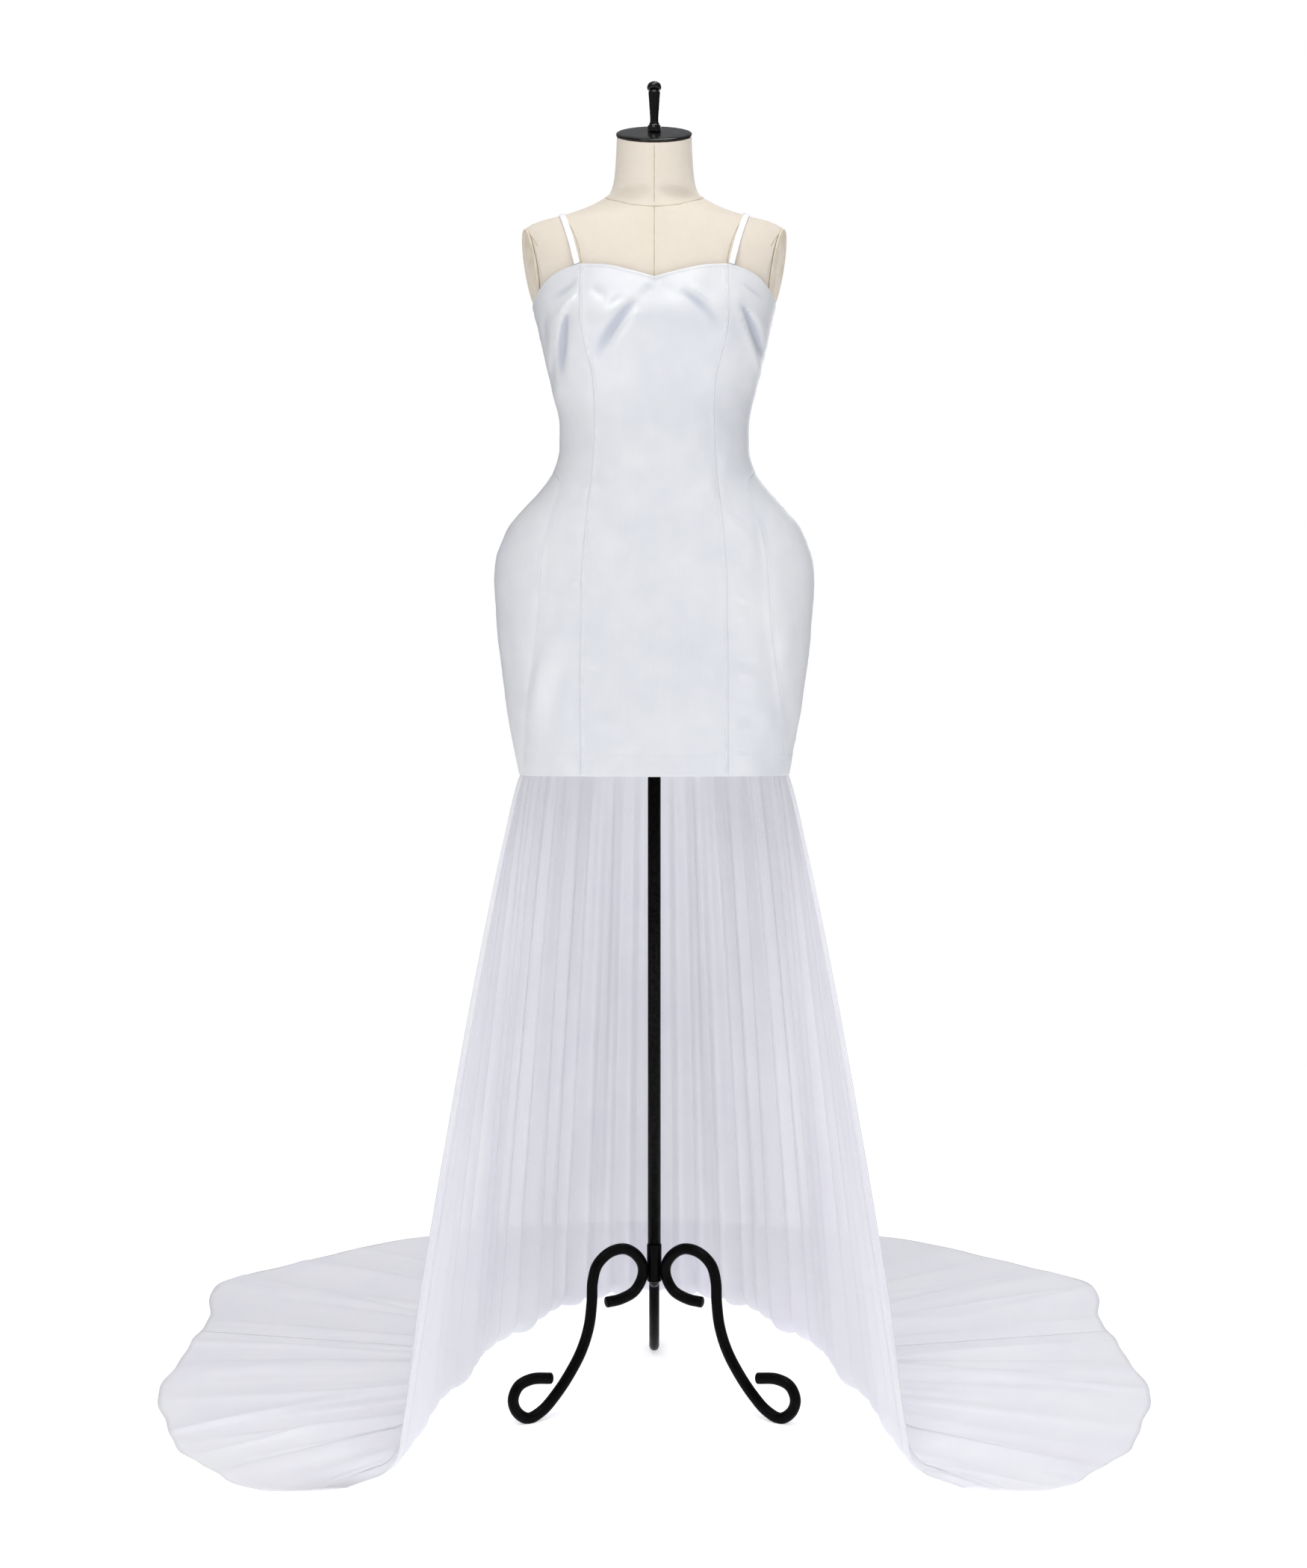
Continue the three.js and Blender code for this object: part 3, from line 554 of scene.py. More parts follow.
def make_weave():
    """Threads over and under each other: how high the cloth stands, and where its gaps are."""
    numbers = {"Threads": 900, "Waver": 0.5}
    tree, nodes, inside, outside = make_group("woven_threads", numbers, ("Height", "Gap"))
    bend = nodes.math("MULTIPLY", nodes.noise(inside["Place"], 140.0), inside["Waver"])
    parts = nodes.add("SeparateXYZ", Vector=inside["Place"]).outputs
    turns = nodes.math("MULTIPLY", inside["Threads"], math.pi)
    waves = [nodes.math("SINE", nodes.math("MULTIPLY_ADD", part, turns, bend)) for part in parts[:2]]
    over = nodes.math("MULTIPLY", *waves)
    nodes.feed(outside["Height"], nodes.math("MULTIPLY_ADD", over, 0.5, 0.5))
    nodes.feed(outside["Gap"], nodes.math("SUBTRACT", 1, nodes.math("ABSOLUTE", over)))
    return tree


def make_fibres():
    """Fine fibres drawn out along the cloth's length: their height and their paler and darker streaks."""
    numbers = {"Fineness": 1500, "Stretch": 0.06}
    tree, nodes, inside, outside = make_group("drawn_fibres", numbers, ("Height", "Streak"))
    stretch = nodes.add("CombineXYZ", X=1.0, Y=inside["Stretch"], Z=1.0).outputs[0]
    drawn = nodes.scaled(inside["Place"], stretch)
    nodes.feed(outside["Height"], nodes.noise(drawn, inside["Fineness"], 3.0))
    coarse = nodes.math("MULTIPLY", inside["Fineness"], 0.12)
    nodes.feed(outside["Streak"], nodes.rising(nodes.noise(drawn, coarse, 2.0), 0.35, 0.65))
    return tree


def make_patches():
    """Soft uneven patches, a large size with a smaller one over it."""
    tree, nodes, inside, outside = make_group("soft_patches", {"Scale": 9, "Sharpness": 0.3}, ("Mask",))
    large = nodes.noise(inside["Place"], inside["Scale"], 3.0)
    small = nodes.noise(inside["Place"], nodes.math("MULTIPLY", inside["Scale"], 5.3), 2.0)
    both = nodes.math("MULTIPLY_ADD", small, 0.3, nodes.math("MULTIPLY", large, 0.7))
    half = nodes.math("MULTIPLY_ADD", inside["Sharpness"], -0.25, 0.3)
    mask = nodes.rising(both, nodes.math("SUBTRACT", 0.5, half), nodes.math("ADD", 0.5, half))
    nodes.feed(outside["Mask"], mask)
    return tree


def make_dust():
    """Dust that has settled on what faces up, thin and uneven."""
    tree, nodes, inside, outside = make_group("settled_dust", {"Amount": 0.3}, ("Mask",))
    up = nodes.add("SeparateXYZ", Vector=nodes.add("NewGeometry").outputs["Normal"]).outputs["Z"]
    faces_up = nodes.rising(up, 0.2, 1.0)
    uneven = nodes.rising(nodes.noise(inside["Place"], 60.0, 4.0), 0.3, 0.7)
    lies = nodes.math("MULTIPLY", faces_up, uneven)
    nodes.feed(outside["Mask"], nodes.math("MULTIPLY", lies, inside["Amount"]))
    return tree


def make_rubbed():
    """Edges rubbed by hands and by the floor."""
    tree, nodes, inside, outside = make_group("rubbed_edges", {"Amount": 0.4}, ("Mask",))
    sharp = nodes.rising(nodes.add("NewGeometry").outputs["Pointiness"], 0.53, 0.62)
    broken = nodes.rising(nodes.noise(inside["Place"], 220.0, 3.0), 0.35, 0.6)
    bare = nodes.math("MULTIPLY", sharp, broken)
    nodes.feed(outside["Mask"], nodes.math("MULTIPLY", bare, inside["Amount"]))
    return tree


WEAVE = make_weave()
FIBRES = make_fibres()
PATCHES = make_patches()
DUST = make_dust()
RUBBED = make_rubbed()


def principled(name, **constants):
    """A new material with the values that are the same all over it set on its shader."""
    material = bpy.data.materials.new(name)
    material.use_nodes = True
    shader = material.node_tree.nodes["Principled BSDF"]
    for socket, value in constants.items():
        shader.inputs[socket.replace("_", " ")].default_value = value
    return material, Nodes(material.node_tree), shader.inputs


def raise_surface(nodes, inputs, height, distance):
    """Bumps of a height in metres."""
    bump = nodes.add("Bump", Height=height, Distance=distance)
    nodes.feed(inputs["Normal"], bump.outputs["Normal"])


def make_satin():
    """Heavy cool white satin: smooth floats along the cloth, with painted shade, greyer and bluer, in its
    crease dips, a painted highlight on their ridges, and soft patches of painted reflection.
    """
    constants = {"Sheen_Weight": 0.08, "Sheen_Roughness": 0.4, "Specular_IOR_Level": 0.75}
    material, nodes, inputs = principled("satin", **constants)
    cloth_place = nodes.on_cloth()
    floats = nodes.group(FIBRES, Place=cloth_place, Fineness=2600.0, Stretch=0.05)
    # Soft cloudy patches of painted reflection, darker and bluer, which also vary the roughness
    patches = nodes.group(PATCHES, Place=nodes.on_object(), Scale=7.0, Sharpness=0.05)["Mask"]
    colour = nodes.mixed(patches, srgb(220, 221, 224), srgb(206, 209, 216))
    # Painted shade, greyer and bluer, in the crease dips, and a painted highlight, paler, on the crease
    # ridges
    dip = nodes.stored("dip")
    colour = nodes.mixed(nodes.between(nodes.rising(dip, -0.6, -4.0), 0.0, 0.7), colour, srgb(168, 174, 191))
    colour = nodes.mixed(nodes.between(nodes.rising(dip, 0.8, 3.0), 0.0, 0.6), colour, srgb(236, 236, 239))
    colour = nodes.mixed(nodes.between(floats["Streak"], 0.0, 0.06), colour, srgb(194, 199, 212))
    nodes.feed(inputs["Base Color"], colour)
    nodes.feed(inputs["Roughness"], nodes.between(patches, 0.34, 0.42))
    raise_surface(nodes, inputs, floats["Height"], 0.00012)
    return material


def make_strap():
    """Bright white satin ribbon, drawn tight."""
    material, nodes, inputs = principled("strap", Sheen_Weight=0.1, Specular_IOR_Level=0.5)
    fibres = nodes.group(FIBRES, Place=nodes.on_object(), Fineness=2400.0, Stretch=0.2)
    nodes.feed(inputs["Base Color"], nodes.mixed(fibres["Streak"], srgb(244, 245, 249), srgb(236, 238, 244)))
    nodes.feed(inputs["Roughness"], nodes.between(fibres["Height"], 0.34, 0.46))
    raise_surface(nodes, inputs, fibres["Height"], 0.0001)
    return material


def make_thread():
    """Glossy white sewing thread."""
    material, nodes, inputs = principled("thread", Sheen_Weight=0.2)
    fibres = nodes.group(FIBRES, Place=nodes.on_object(), Fineness=1800.0, Stretch=0.4)
    nodes.feed(inputs["Base Color"], nodes.mixed(fibres["Streak"], srgb(244, 244, 246), srgb(226, 228, 234)))
    nodes.feed(inputs["Roughness"], nodes.between(fibres["Height"], 0.35, 0.55))
    raise_surface(nodes, inputs, fibres["Height"], 0.00015)
    return material


def make_net():
    """Fine net with a breath of lilac: a clear mesh where it lies open, near solid where it is gathered, and
    greyer there with painted shade.
    """
    material, nodes, inputs = principled("net", Sheen_Weight=0.15, Specular_IOR_Level=0.3)
    cloth_place = nodes.on_cloth()
    mesh = nodes.group(WEAVE, Place=cloth_place, Threads=760.0, Waver=1.4)
    patches = nodes.group(PATCHES, Place=nodes.on_object(), Scale=7.0, Sharpness=0.2)["Mask"]
    crowd = nodes.stored("crowd")
    colour = nodes.mixed(patches, srgb(250, 251, 254), srgb(246, 245, 254))
    # Greyer where the net is gathered or lies in two layers, and just under the hem: painted shade, and there
    # a painted shadow of the dress
    colour = nodes.mixed(nodes.between(crowd, 0.0, 0.7), colour, srgb(229, 230, 236))
    nodes.feed(inputs["Base Color"], colour)
    nodes.feed(inputs["Roughness"], nodes.between(mesh["Gap"], 0.62, 0.82))
    closed = nodes.between(crowd, 0.58, 0.76)
    nodes.feed(inputs["Alpha"], nodes.math("MULTIPLY_ADD", mesh["Gap"], 0.16, closed))
    raise_surface(nodes, inputs, mesh["Height"], 0.0002)
    return material


def make_linen():
    """Cream linen over padding: plain weave with thick and thin threads, a little mottled."""
    material, nodes, inputs = principled("linen", Sheen_Weight=0.15, Specular_IOR_Level=0.25)
    place = nodes.on_object()
    parts = nodes.add("SeparateXYZ", Vector=place).outputs
    level = nodes.math("ADD", parts["X"], parts["Y"])
    turned_place = nodes.add("CombineXYZ", X=level, Y=parts["Z"]).outputs[0]
    weave = nodes.group(WEAVE, Place=turned_place, Threads=820.0, Waver=1.6)
    slubs = nodes.group(FIBRES, Place=place, Fineness=900.0, Stretch=0.12)
    patches = nodes.group(PATCHES, Place=place, Scale=8.0, Sharpness=0.1)["Mask"]
    colour = nodes.mixed(patches, srgb(219, 211, 200), srgb(216, 207, 195))
    colour = nodes.mixed(nodes.between(slubs["Streak"], 0.0, 0.08), colour, srgb(200, 190, 172))
    colour = nodes.mixed(nodes.between(weave["Gap"], 0.0, 0.14), colour, srgb(196, 184, 164))
    nodes.feed(inputs["Base Color"], colour)
    nodes.feed(inputs["Roughness"], nodes.between(slubs["Height"], 0.78, 0.95))
    raise_surface(nodes, inputs, nodes.math("MULTIPLY_ADD", slubs["Height"], 0.3, weave["Height"]), 0.00015)
    return material


def make_seam():
    """The form's seam lines: linen drawn in, a little darker and browner."""
    material, nodes, inputs = principled("linen_seam", Specular_IOR_Level=0.2)
    slubs = nodes.group(FIBRES, Place=nodes.on_object(), Fineness=900.0, Stretch=0.3)
    nodes.feed(inputs["Base Color"], nodes.mixed(slubs["Streak"], srgb(203, 188, 168), srgb(184, 168, 148)))
    nodes.feed(inputs["Roughness"], nodes.between(slubs["Height"], 0.8, 0.95))
    raise_surface(nodes, inputs, slubs["Height"], 0.0002)
    return material


def make_plate():
    """Linen drawn over the arm plates, greyer from hands."""
    material, nodes, inputs = principled("arm_plate", Sheen_Weight=0.1, Specular_IOR_Level=0.25)
    place = nodes.on_object()
    slubs = nodes.group(FIBRES, Place=place, Fineness=900.0, Stretch=0.2)
    patches = nodes.group(PATCHES, Place=place, Scale=26.0, Sharpness=0.5)["Mask"]
    dust = nodes.group(DUST, Place=place, Amount=0.3)["Mask"]
    colour = nodes.mixed(patches, srgb(226, 216, 200), srgb(208, 194, 174))
    colour = nodes.mixed(nodes.between(slubs["Streak"], 0.0, 0.3), colour, srgb(232, 224, 210))
    nodes.feed(inputs["Base Color"], nodes.mixed(dust, colour, srgb(224, 220, 212)))
    nodes.feed(inputs["Roughness"], nodes.between(patches, 0.6, 0.8))
    raise_surface(nodes, inputs, slubs["Height"], 0.0003)
    return material


def make_black(name, colour, worn, roughness, hammered, dust_amount, gloss):
    """A black finish with faint unevenness, paler rubbed edges and a little dust."""
    material, nodes, inputs = principled(name, Specular_IOR_Level=gloss)
    place = nodes.on_object()
    patches = nodes.group(PATCHES, Place=place, Scale=40.0, Sharpness=0.4)["Mask"]
    rubbed = nodes.group(RUBBED, Place=place, Amount=0.35)["Mask"]
    dust = nodes.group(DUST, Place=place, Amount=dust_amount)["Mask"]
    shade = nodes.mixed(nodes.between(patches, 0.0, 0.5), colour, srgb(9, 9, 10))
    shade = nodes.mixed(rubbed, shade, worn)
    nodes.feed(inputs["Base Color"], nodes.mixed(dust, shade, srgb(120, 118, 116)))
    dull = nodes.math("MULTIPLY_ADD", dust, 0.5, nodes.between(patches, *roughness))
    nodes.feed(inputs["Roughness"], dull)
    raise_surface(nodes, inputs, nodes.noise(place, 160.0, 3.0), hammered)
    return material


def make_metal():
    """Bright zip metal with fine scratches."""
    material, nodes, inputs = principled("zip_metal", Metallic=1.0)
    place = nodes.on_object()
    scratches = nodes.group(FIBRES, Place=place, Fineness=2200.0, Stretch=0.1)
    rubbed = nodes.group(RUBBED, Place=place, Amount=0.8)["Mask"]
    colour = nodes.mixed(scratches["Streak"], srgb(205, 206, 210), srgb(182, 184, 190))
    nodes.feed(inputs["Base Color"], nodes.mixed(rubbed, colour, srgb(238, 238, 240)))
    nodes.feed(inputs["Roughness"], nodes.between(scratches["Height"], 0.18, 0.4))
    raise_surface(nodes, inputs, scratches["Height"], 0.00005)
    return material


SATIN = make_satin()
STRAP = make_strap()
THREAD = make_thread()
NET = make_net()
LINEN = make_linen()
PLATE = make_plate()
GLOSS = make_black("gloss_black", srgb(5, 5, 6), srgb(52, 40, 34), (0.08, 0.16), 0.00003, 0.1, 0.3)
IRON = make_black("iron", srgb(2, 2, 3), srgb(34, 31, 30), (0.3, 0.42), 0.0002, 0.01, 0.05)
CAP_BAND = make_black("cap_band", srgb(74, 26, 18), srgb(120, 60, 44), (0.2, 0.3), 0.00004, 0.1, 0.3)
METAL = make_metal()
SEAM = make_seam()


# Satin panels

# Distances of the grid's first lines from an edge, the step between the others, and the hem's turned width
EDGE_STEPS = np.array([0, 0.5, 1.1, 1.8, 2.8, 4.2, 6.2])
SATIN_STEP = 4
HEM_TURN = 30
# The stitched band beside each princess seam: where it starts and ends from the seam, and the stitches' rise
BAND = (1.3, 6.5)
STITCH_PITCH = 2.7
THREAD_RADIUS = 0.44
# How strong the creases are in the skirt and in the bodice, how strong the swells are, and how deep the
# satin may dip
CREASE_STRENGTH = (1.0, 1.8)
SWELL_STRENGTH = 1.6
DEEPEST = 3.4

# Creases on the front and back, seen from the front: start x, z, end x, z, sideways bow, half width and
# height, where a dip is negative
FRONT_CREASES = [
    # left side of the bust: a deep fold with sharp ridges beside it
    (-117, 1492, -138, 1395, 2, 9, -3.4),
    (-114, 1503, -131, 1382, -8, 3.6, 1.7),
    (-99, 1512, -140, 1474, 2, 5, 1.7),
    (-103, 1530, -146, 1506, 3, 7, -1.5),
    (-150, 1490, -145, 1440, 0, 5, -1.3),
    # bust, left of the middle
    (-25, 1498, -80, 1418, -3, 9, -2.7),
    (-20, 1482, -62, 1416, -4, 8, 1.4),
    (-62, 1488, -40, 1505, 0, 3.6, -1.2),
    (-84, 1515, -62, 1496, 2, 5, -1),
    # the pull of the neckline's point
    (5, 1531, -19, 1498, 1, 3, -0.9),
    (-1, 1531, -26, 1503, 1, 4, 0.8),
    (7, 1530, 32, 1497, -1, 5, -0.8),
    # bust, right of the middle
    (36, 1510, 88, 1460, 4, 8, -2.1),
    (50, 1516, 92, 1478, 3, 7, 1.1),
    # right side of the bust
    (107, 1498, 152, 1412, -4, 3.6, 1.7),
    (116, 1506, 156, 1428, -3, 7, -3),
    (109, 1514, 149, 1474, -3, 4, 1.4),
    (118, 1528, 156, 1508, -2, 5, -1.3),
    # drag lines from the seams over the hips
    (101, 1204, 138, 1182, 0, 5, 1.6),
    (99, 1222, 130, 1204, 0, 5, -1.6),
    (102, 1158, 132, 1141, 0, 5, -1.3),
    (106, 1110, 127, 1098, 0, 4, 1.1),
    (108, 1080, 126, 1077, 0, 4, 1),
    (108, 1096, 128, 1095, 0, 3.5, -1),
    (106, 1004, 143, 999, -2, 6, 1.4),
    (106, 1021, 139, 1016, -2, 5, -1.2),
    (108, 970, 130, 972, 0, 5, -1),
    (108, 946, 134, 943, 0, 5, -1),
    (108, 928, 130, 928, 0, 4, 0.9),
    (108, 900, 128, 902, 0, 5, -0.8),
    (-114, 1112, -88, 1122, 0, 4, -1.1),
    (-114, 1124, -90, 1132, 0, 4, 1),
    (-110, 1088, -92, 1096, 0, 4, -0.8),
    (96, 1252, 66, 1244, 2, 7, 1.4),
    (97, 1225, 62, 1216, 2, 6, -1.1),
    # soft slants in the lower skirt, and the ease over the turned hem
    (-150, 1030, -172, 930, 4, 12, 1.3),
    (-128, 1010, -150, 900, 4, 12, -1.2),
    (150, 1090, 172, 940, -4, 12, -1.2),
    (-80, 903, 70, 905, 2, 4, 0.5),
    (-60, 896, 90, 893, -1, 3.5, -0.5),
]
BACK_CREASES = [
    # drag lines from the shoulder blades to the straps
    (-102, 1478, -58, 1416, 5, 8, -1.8),
    (-84, 1486, -44, 1430, 4, 7, 1.2),
    (104, 1474, 66, 1404, -5, 9, -1.9),
    (90, 1484, 52, 1422, -4, 7, 1.1),
    (-148, 1470, -118, 1400, 4, 8, -1.6),
    (150, 1462, 122, 1388, -5, 8, -1.7),
    # folds across the small of the back
    (-96, 1350, -14, 1336, 5, 6, -1.7),
    (-84, 1334, -10, 1322, 4, 5, 1.2),
    (12, 1342, 90, 1356, 5, 6, -1.6),
    (16, 1326, 84, 1338, 4, 5, 1.3),
    (-110, 1312, -22, 1304, 4, 6, -1.5),
    (20, 1308, 104, 1318, 4, 6, -1.4),
    (-118, 1284, -40, 1282, 3, 7, 1.2),
    (34, 1286, 112, 1290, 3, 7, 1.1),
    (-70, 1262, -12, 1258, 2, 6, -1.1),
    (14, 1264, 66, 1260, 2, 6, -1),
    # below the zip
    (-6, 1214, -44, 1150, -4, 9, 1.5),
    (8, 1212, 52, 1142, 4, 9, 1.4),
    (-2, 1196, -20, 1120, -2, 7, -1.2),
    (-98, 1190, -134, 1172, 0, 5, 1.4),
    (-100, 1150, -126, 1136, 0, 5, -1.2),
    (98, 1176, 132, 1160, 0, 5, 1.3),
    (100, 1128, 124, 1118, 0, 5, -1.1),
    (-104, 1010, -140, 1002, 2, 6, -1.2),
    (106, 985, 138, 980, 2, 6, 1.1),
    (-30, 1060, -60, 920, 6, 14, -1.2),
    (40, 1050, 66, 910, -6, 14, 1.1),
    (-70, 902, 80, 904, 2, 4, -0.5),
]
# Soft hollows and swellings: place x, z, how wide and how high they spread, and height
FRONT_SWELLS = [
    (-104, 1323, 16, 20, -1.5), (-50, 1346, 24, 16, -1.1), (18, 1400, 22, 18, -1.1), (73, 1379, 20, 12, -1),
    (124, 1388, 13, 15, -1.6), (110, 1336, 13, 15, -1.5), (-17, 1278, 28, 16, 1.1), (-69, 1273, 11, 13, 1),
    (95, 1290, 9, 9, 1), (76, 1248, 18, 11, 1.4), (-60, 1194, 20, 15, -1.3), (-66, 1157, 18, 11, 1),
    (-88, 1243, 11, 11, 1), (-112, 1243, 13, 14, 1.1), (30, 1170, 34, 22, -1), (0, 1110, 40, 20, 1),
    (-40, 1060, 26, 18, -1), (52, 1050, 30, 20, 0.9), (-10, 985, 38, 16, -0.9), (-83, 1005, 7, 6, -0.9),
    (-101, 975, 7, 6, -0.9), (60, 950, 26, 14, 0.8), (-50, 935, 30, 12, 0.8), (180, 1050, 14, 22, 1.3),
    (-182, 1040, 12, 34, 1.3), (-150, 1150, 12, 40, -1.3), (146, 1160, 12, 44, -1.5), (188, 1150, 14, 24, -1),
]
BACK_SWELLS = [
    (-60, 1450, 26, 20, 1.2), (58, 1446, 26, 20, 1.1), (-40, 1385, 22, 18, -1.2), (46, 1380, 22, 18, -1.1),
    (-60, 1170, 36, 26, 1.4), (64, 1160, 36, 26, 1.3), (0, 1060, 30, 30, -1.1), (-80, 1040, 26, 22, 1),
    (90, 1050, 26, 22, -1), (-20, 960, 40, 16, 0.9), (50, 940, 30, 14, -0.8), (-150, 1120, 12, 40, -1.3),
    (150, 1100, 12, 44, -1.4), (-186, 1060, 12, 30, 1.2), (186, 1080, 12, 30, 1.1),
]
# The fullness of the bust, the dip between its halves and the hollow below it
BUST_SWELLS = [
    (-82, 1462, 58, 40, 7.5), (82, 1462, 58, 40, 7.5), (0, 1385, 130, 34, -3.5), (0, 1475, 22, 50, -1.5),
]
# Over how much of its height a panel's rows bend to its top edge: the bodice and the hip gore
BODICE_BLEND = 100
HIP_BLEND = 32
# A stitch's rings: share of its length, then lift and size as shares of the thread's radius
STITCH_RINGS = [
    (-0.06, -0.5, 0.45), (0.12, 0.35, 0.95), (0.5, 0.75, 1.05), (0.88, 0.35, 0.95), (1.06, -0.5, 0.45),
]
STITCH_SIDES = 5


def panel_columns(width):
    """Shares across a panel, close together along both edges, where the seams turn in."""
    edge = EDGE_STEPS / width
    middle = np.linspace(edge[-1], 1 - edge[-1], max(4, round((width - 2 * EDGE_STEPS[-1]) / SATIN_STEP)))
    return np.concatenate([edge[:-1], middle, 1 - edge[:-1][::-1]])


def rising_heights(top):
    """Heights of a panel's rows from the hem up, closer at the hem and at its turned edge."""
    turn = HEM_Z + HEM_TURN
    below_turn = np.arange(HEM_Z + 9, turn - 4, 3.0)
    at_turn = np.arange(turn - 4, turn + 4, 1.3)
    above = np.linspace(turn + 4, top, round((top - turn - 4) / SATIN_STEP) + 1)
    return np.concatenate([HEM_Z + EDGE_STEPS, below_turn, at_turn, above])


def crease(x, z, row):
    """The height that one crease adds along a bowed line: it starts narrow, opens out and fades."""
    x0, z0, x1, z1, bow, half_width, height = row
    length = math.hypot(x1 - x0, z1 - z0)
    t = np.clip(((x - x0) * (x1 - x0) + (z - z0) * (z1 - z0)) / length**2, 0, 1)
    aside = bow * 4 * t * (1 - t)
    near_x = mix(x0, x1, t) - (z1 - z0) / length * aside
    near_z = mix(z0, z1, t) + (x1 - x0) / length * aside
    away = np.hypot(x - near_x, z - near_z)
    return height * groove(away, half_width * mix(0.65, 1.4, t)) * np.sin(math.pi * t**0.7) ** 0.8


def swell(x, z, row):
    """The height that one soft hollow or swelling adds."""
    x0, z0, wide, high, height = row
    return height * np.exp(-(((x - x0) / wide) ** 2) - ((z - z0) / high) ** 2)


def puckers(edge, z, seed):
    """Small uneven puckers that run out from a sewn seam."""
    draw = np.random.default_rng(seed)
    relief = np.zeros_like(z)
    place = HEM_Z + draw.uniform(8, 20)
    while place < SIDE_TOP_Z:
        height = draw.uniform(0.15, 0.6) * draw.choice([-1, 1])
        tall = draw.uniform(2.6, 6)
        reach = draw.uniform(5, 17)
        slant = draw.uniform(-0.35, 0.35)
        relief += height * groove(z - place - slant * edge, tall) * groove(edge, reach)
        place += draw.uniform(8, 27)
    return relief


def satin_relief(flat, angle, z, seed, band):
    """How far the satin stands out from its smooth form, and how much of that is creases."""
    across = run_of(flat, 1)
    from_start, from_end = across, across[:, -1:] - across
    edge = np.minimum(from_start, from_end)
    # drawn in and puckered along its seams, and raised in the stitched bands
    relief = -0.08 * groove(edge, 0.9) - 0.3 * groove(edge, 7)
    relief += puckers(from_start, z, seed) + puckers(from_end, z, seed + 1)
    for beside in band:
        distance = from_start if beside == "start" else from_end
        relief += 0.4 * smooth((distance - 0.8) / 1.2) * (1 - smooth((distance - BAND[1]) / 1.4))
    # creases and swellings, weaker close to the seams
    x = flat[..., 0]
    front = smooth(0.5 - flat[..., 1] / 30)
    creased = np.zeros_like(relief)
    for rows, swells, share in ((FRONT_CREASES, FRONT_SWELLS, front), (BACK_CREASES, BACK_SWELLS, 1 - front)):
        total = mix(*CREASE_STRENGTH, smooth((z - 1360) / 60)) * sum(crease(x, z, row) for row in rows)
        creased += total * share
        total += SWELL_STRENGTH * sum(swell(x, z, row) for row in swells)
        relief += total * share * (0.15 + 0.85 * smooth((edge - 1) / 8))
    # the slow unevenness of a steamed cloth
    uneven = np.sin(x / 17 + 1.3 * np.sin(z / 37)) * np.sin(z / 29 + 1.7 * np.sin(x / 31 + 1))
    relief += uneven * smooth(edge / 12)
    # the turned hem: thicker up to its turning, slightly wavy there, and rounded at its fold
    over_hem = z - HEM_Z
    over_turn = over_hem - HEM_TURN
    relief += 0.25 * (1 - smooth((over_turn + 4) / 8)) - 0.1 * groove(over_turn, 1.4)
    relief += 0.22 * np.sin(x / 15 + 2 * np.sin(x / 41)) * groove(over_turn - 4, 9)
    relief -= 0.6 * groove(over_hem, 0.9)
    # the top edge: rolled, with a line drawn in below it
    drop = top_edge(angle) - z
    relief += 0.5 * groove(drop - 2.2, 1.7) - 0.25 * groove(drop - 5.2, 1)
    return relief - 0.9 * groove(drop, 0.8), creased


def satin_piece(name, angle, z, seed, band=()):
    """A satin panel from its grid of angles and heights, with the stitched bands beside its seams."""
    facing = outward(DRESS, angle, z)
    flat = section(DRESS, angle, z)
    relief, creased = satin_relief(flat, angle, z, seed, band)
    stands = relief + sum(swell(flat[..., 0], z, row) for row in BUST_SWELLS) * smooth(-flat[..., 1] / 40)
    stands = np.where(stands < 0, DEEPEST * np.tanh(stands / DEEPEST), stands)
    points = flat + facing * stands[..., None]
    sign = np.sign(angle[0, -1] - angle[0, 0])
    piece = cloth("satin_" + name, points, SATIN, SATIN_THICK, sign)
    # The creases' heights, which the satin's material paints as shade in the dips and as highlight on the
    # ridges
    store(piece, "dip", creased if sign > 0 else creased[:, ::-1])
    stand_for(piece, "satin", name)
    for beside in band:
        sew_band(f"topstitch_{name}_{beside}", points, run_of(flat, 1), beside)


def long_panel(name, start, end, width, seed, band=()):
    """A panel from the hem to the top edge, between two seam lines given as functions of the height."""
    share = panel_columns(width)[None, :]
    low_z = rising_heights(BODICE_Z)[:, None]
    low_angle = mix(start(low_z), end(low_z), share)
    down = np.concatenate([np.linspace(BODICE_BLEND, EDGE_STEPS[-1], 26)[1:-1], EDGE_STEPS[::-1]])
    rise = 1 - down[:, None] / BODICE_BLEND
    at_bodice = mix(start(np.array([[BODICE_Z]])), end(np.array([[BODICE_Z]])), share)
    at_top = mix(start(np.array([[SIDE_TOP_Z]])), end(np.array([[SIDE_TOP_Z]])), share)
    high_angle = mix(at_bodice, at_top, rise)
    high_z = mix(BODICE_Z, top_edge(high_angle), rise)
    angle = np.concatenate([low_angle, high_angle])
    z = np.concatenate([np.broadcast_to(low_z, low_angle.shape), high_z])
    satin_piece(name, angle, z, seed, band)


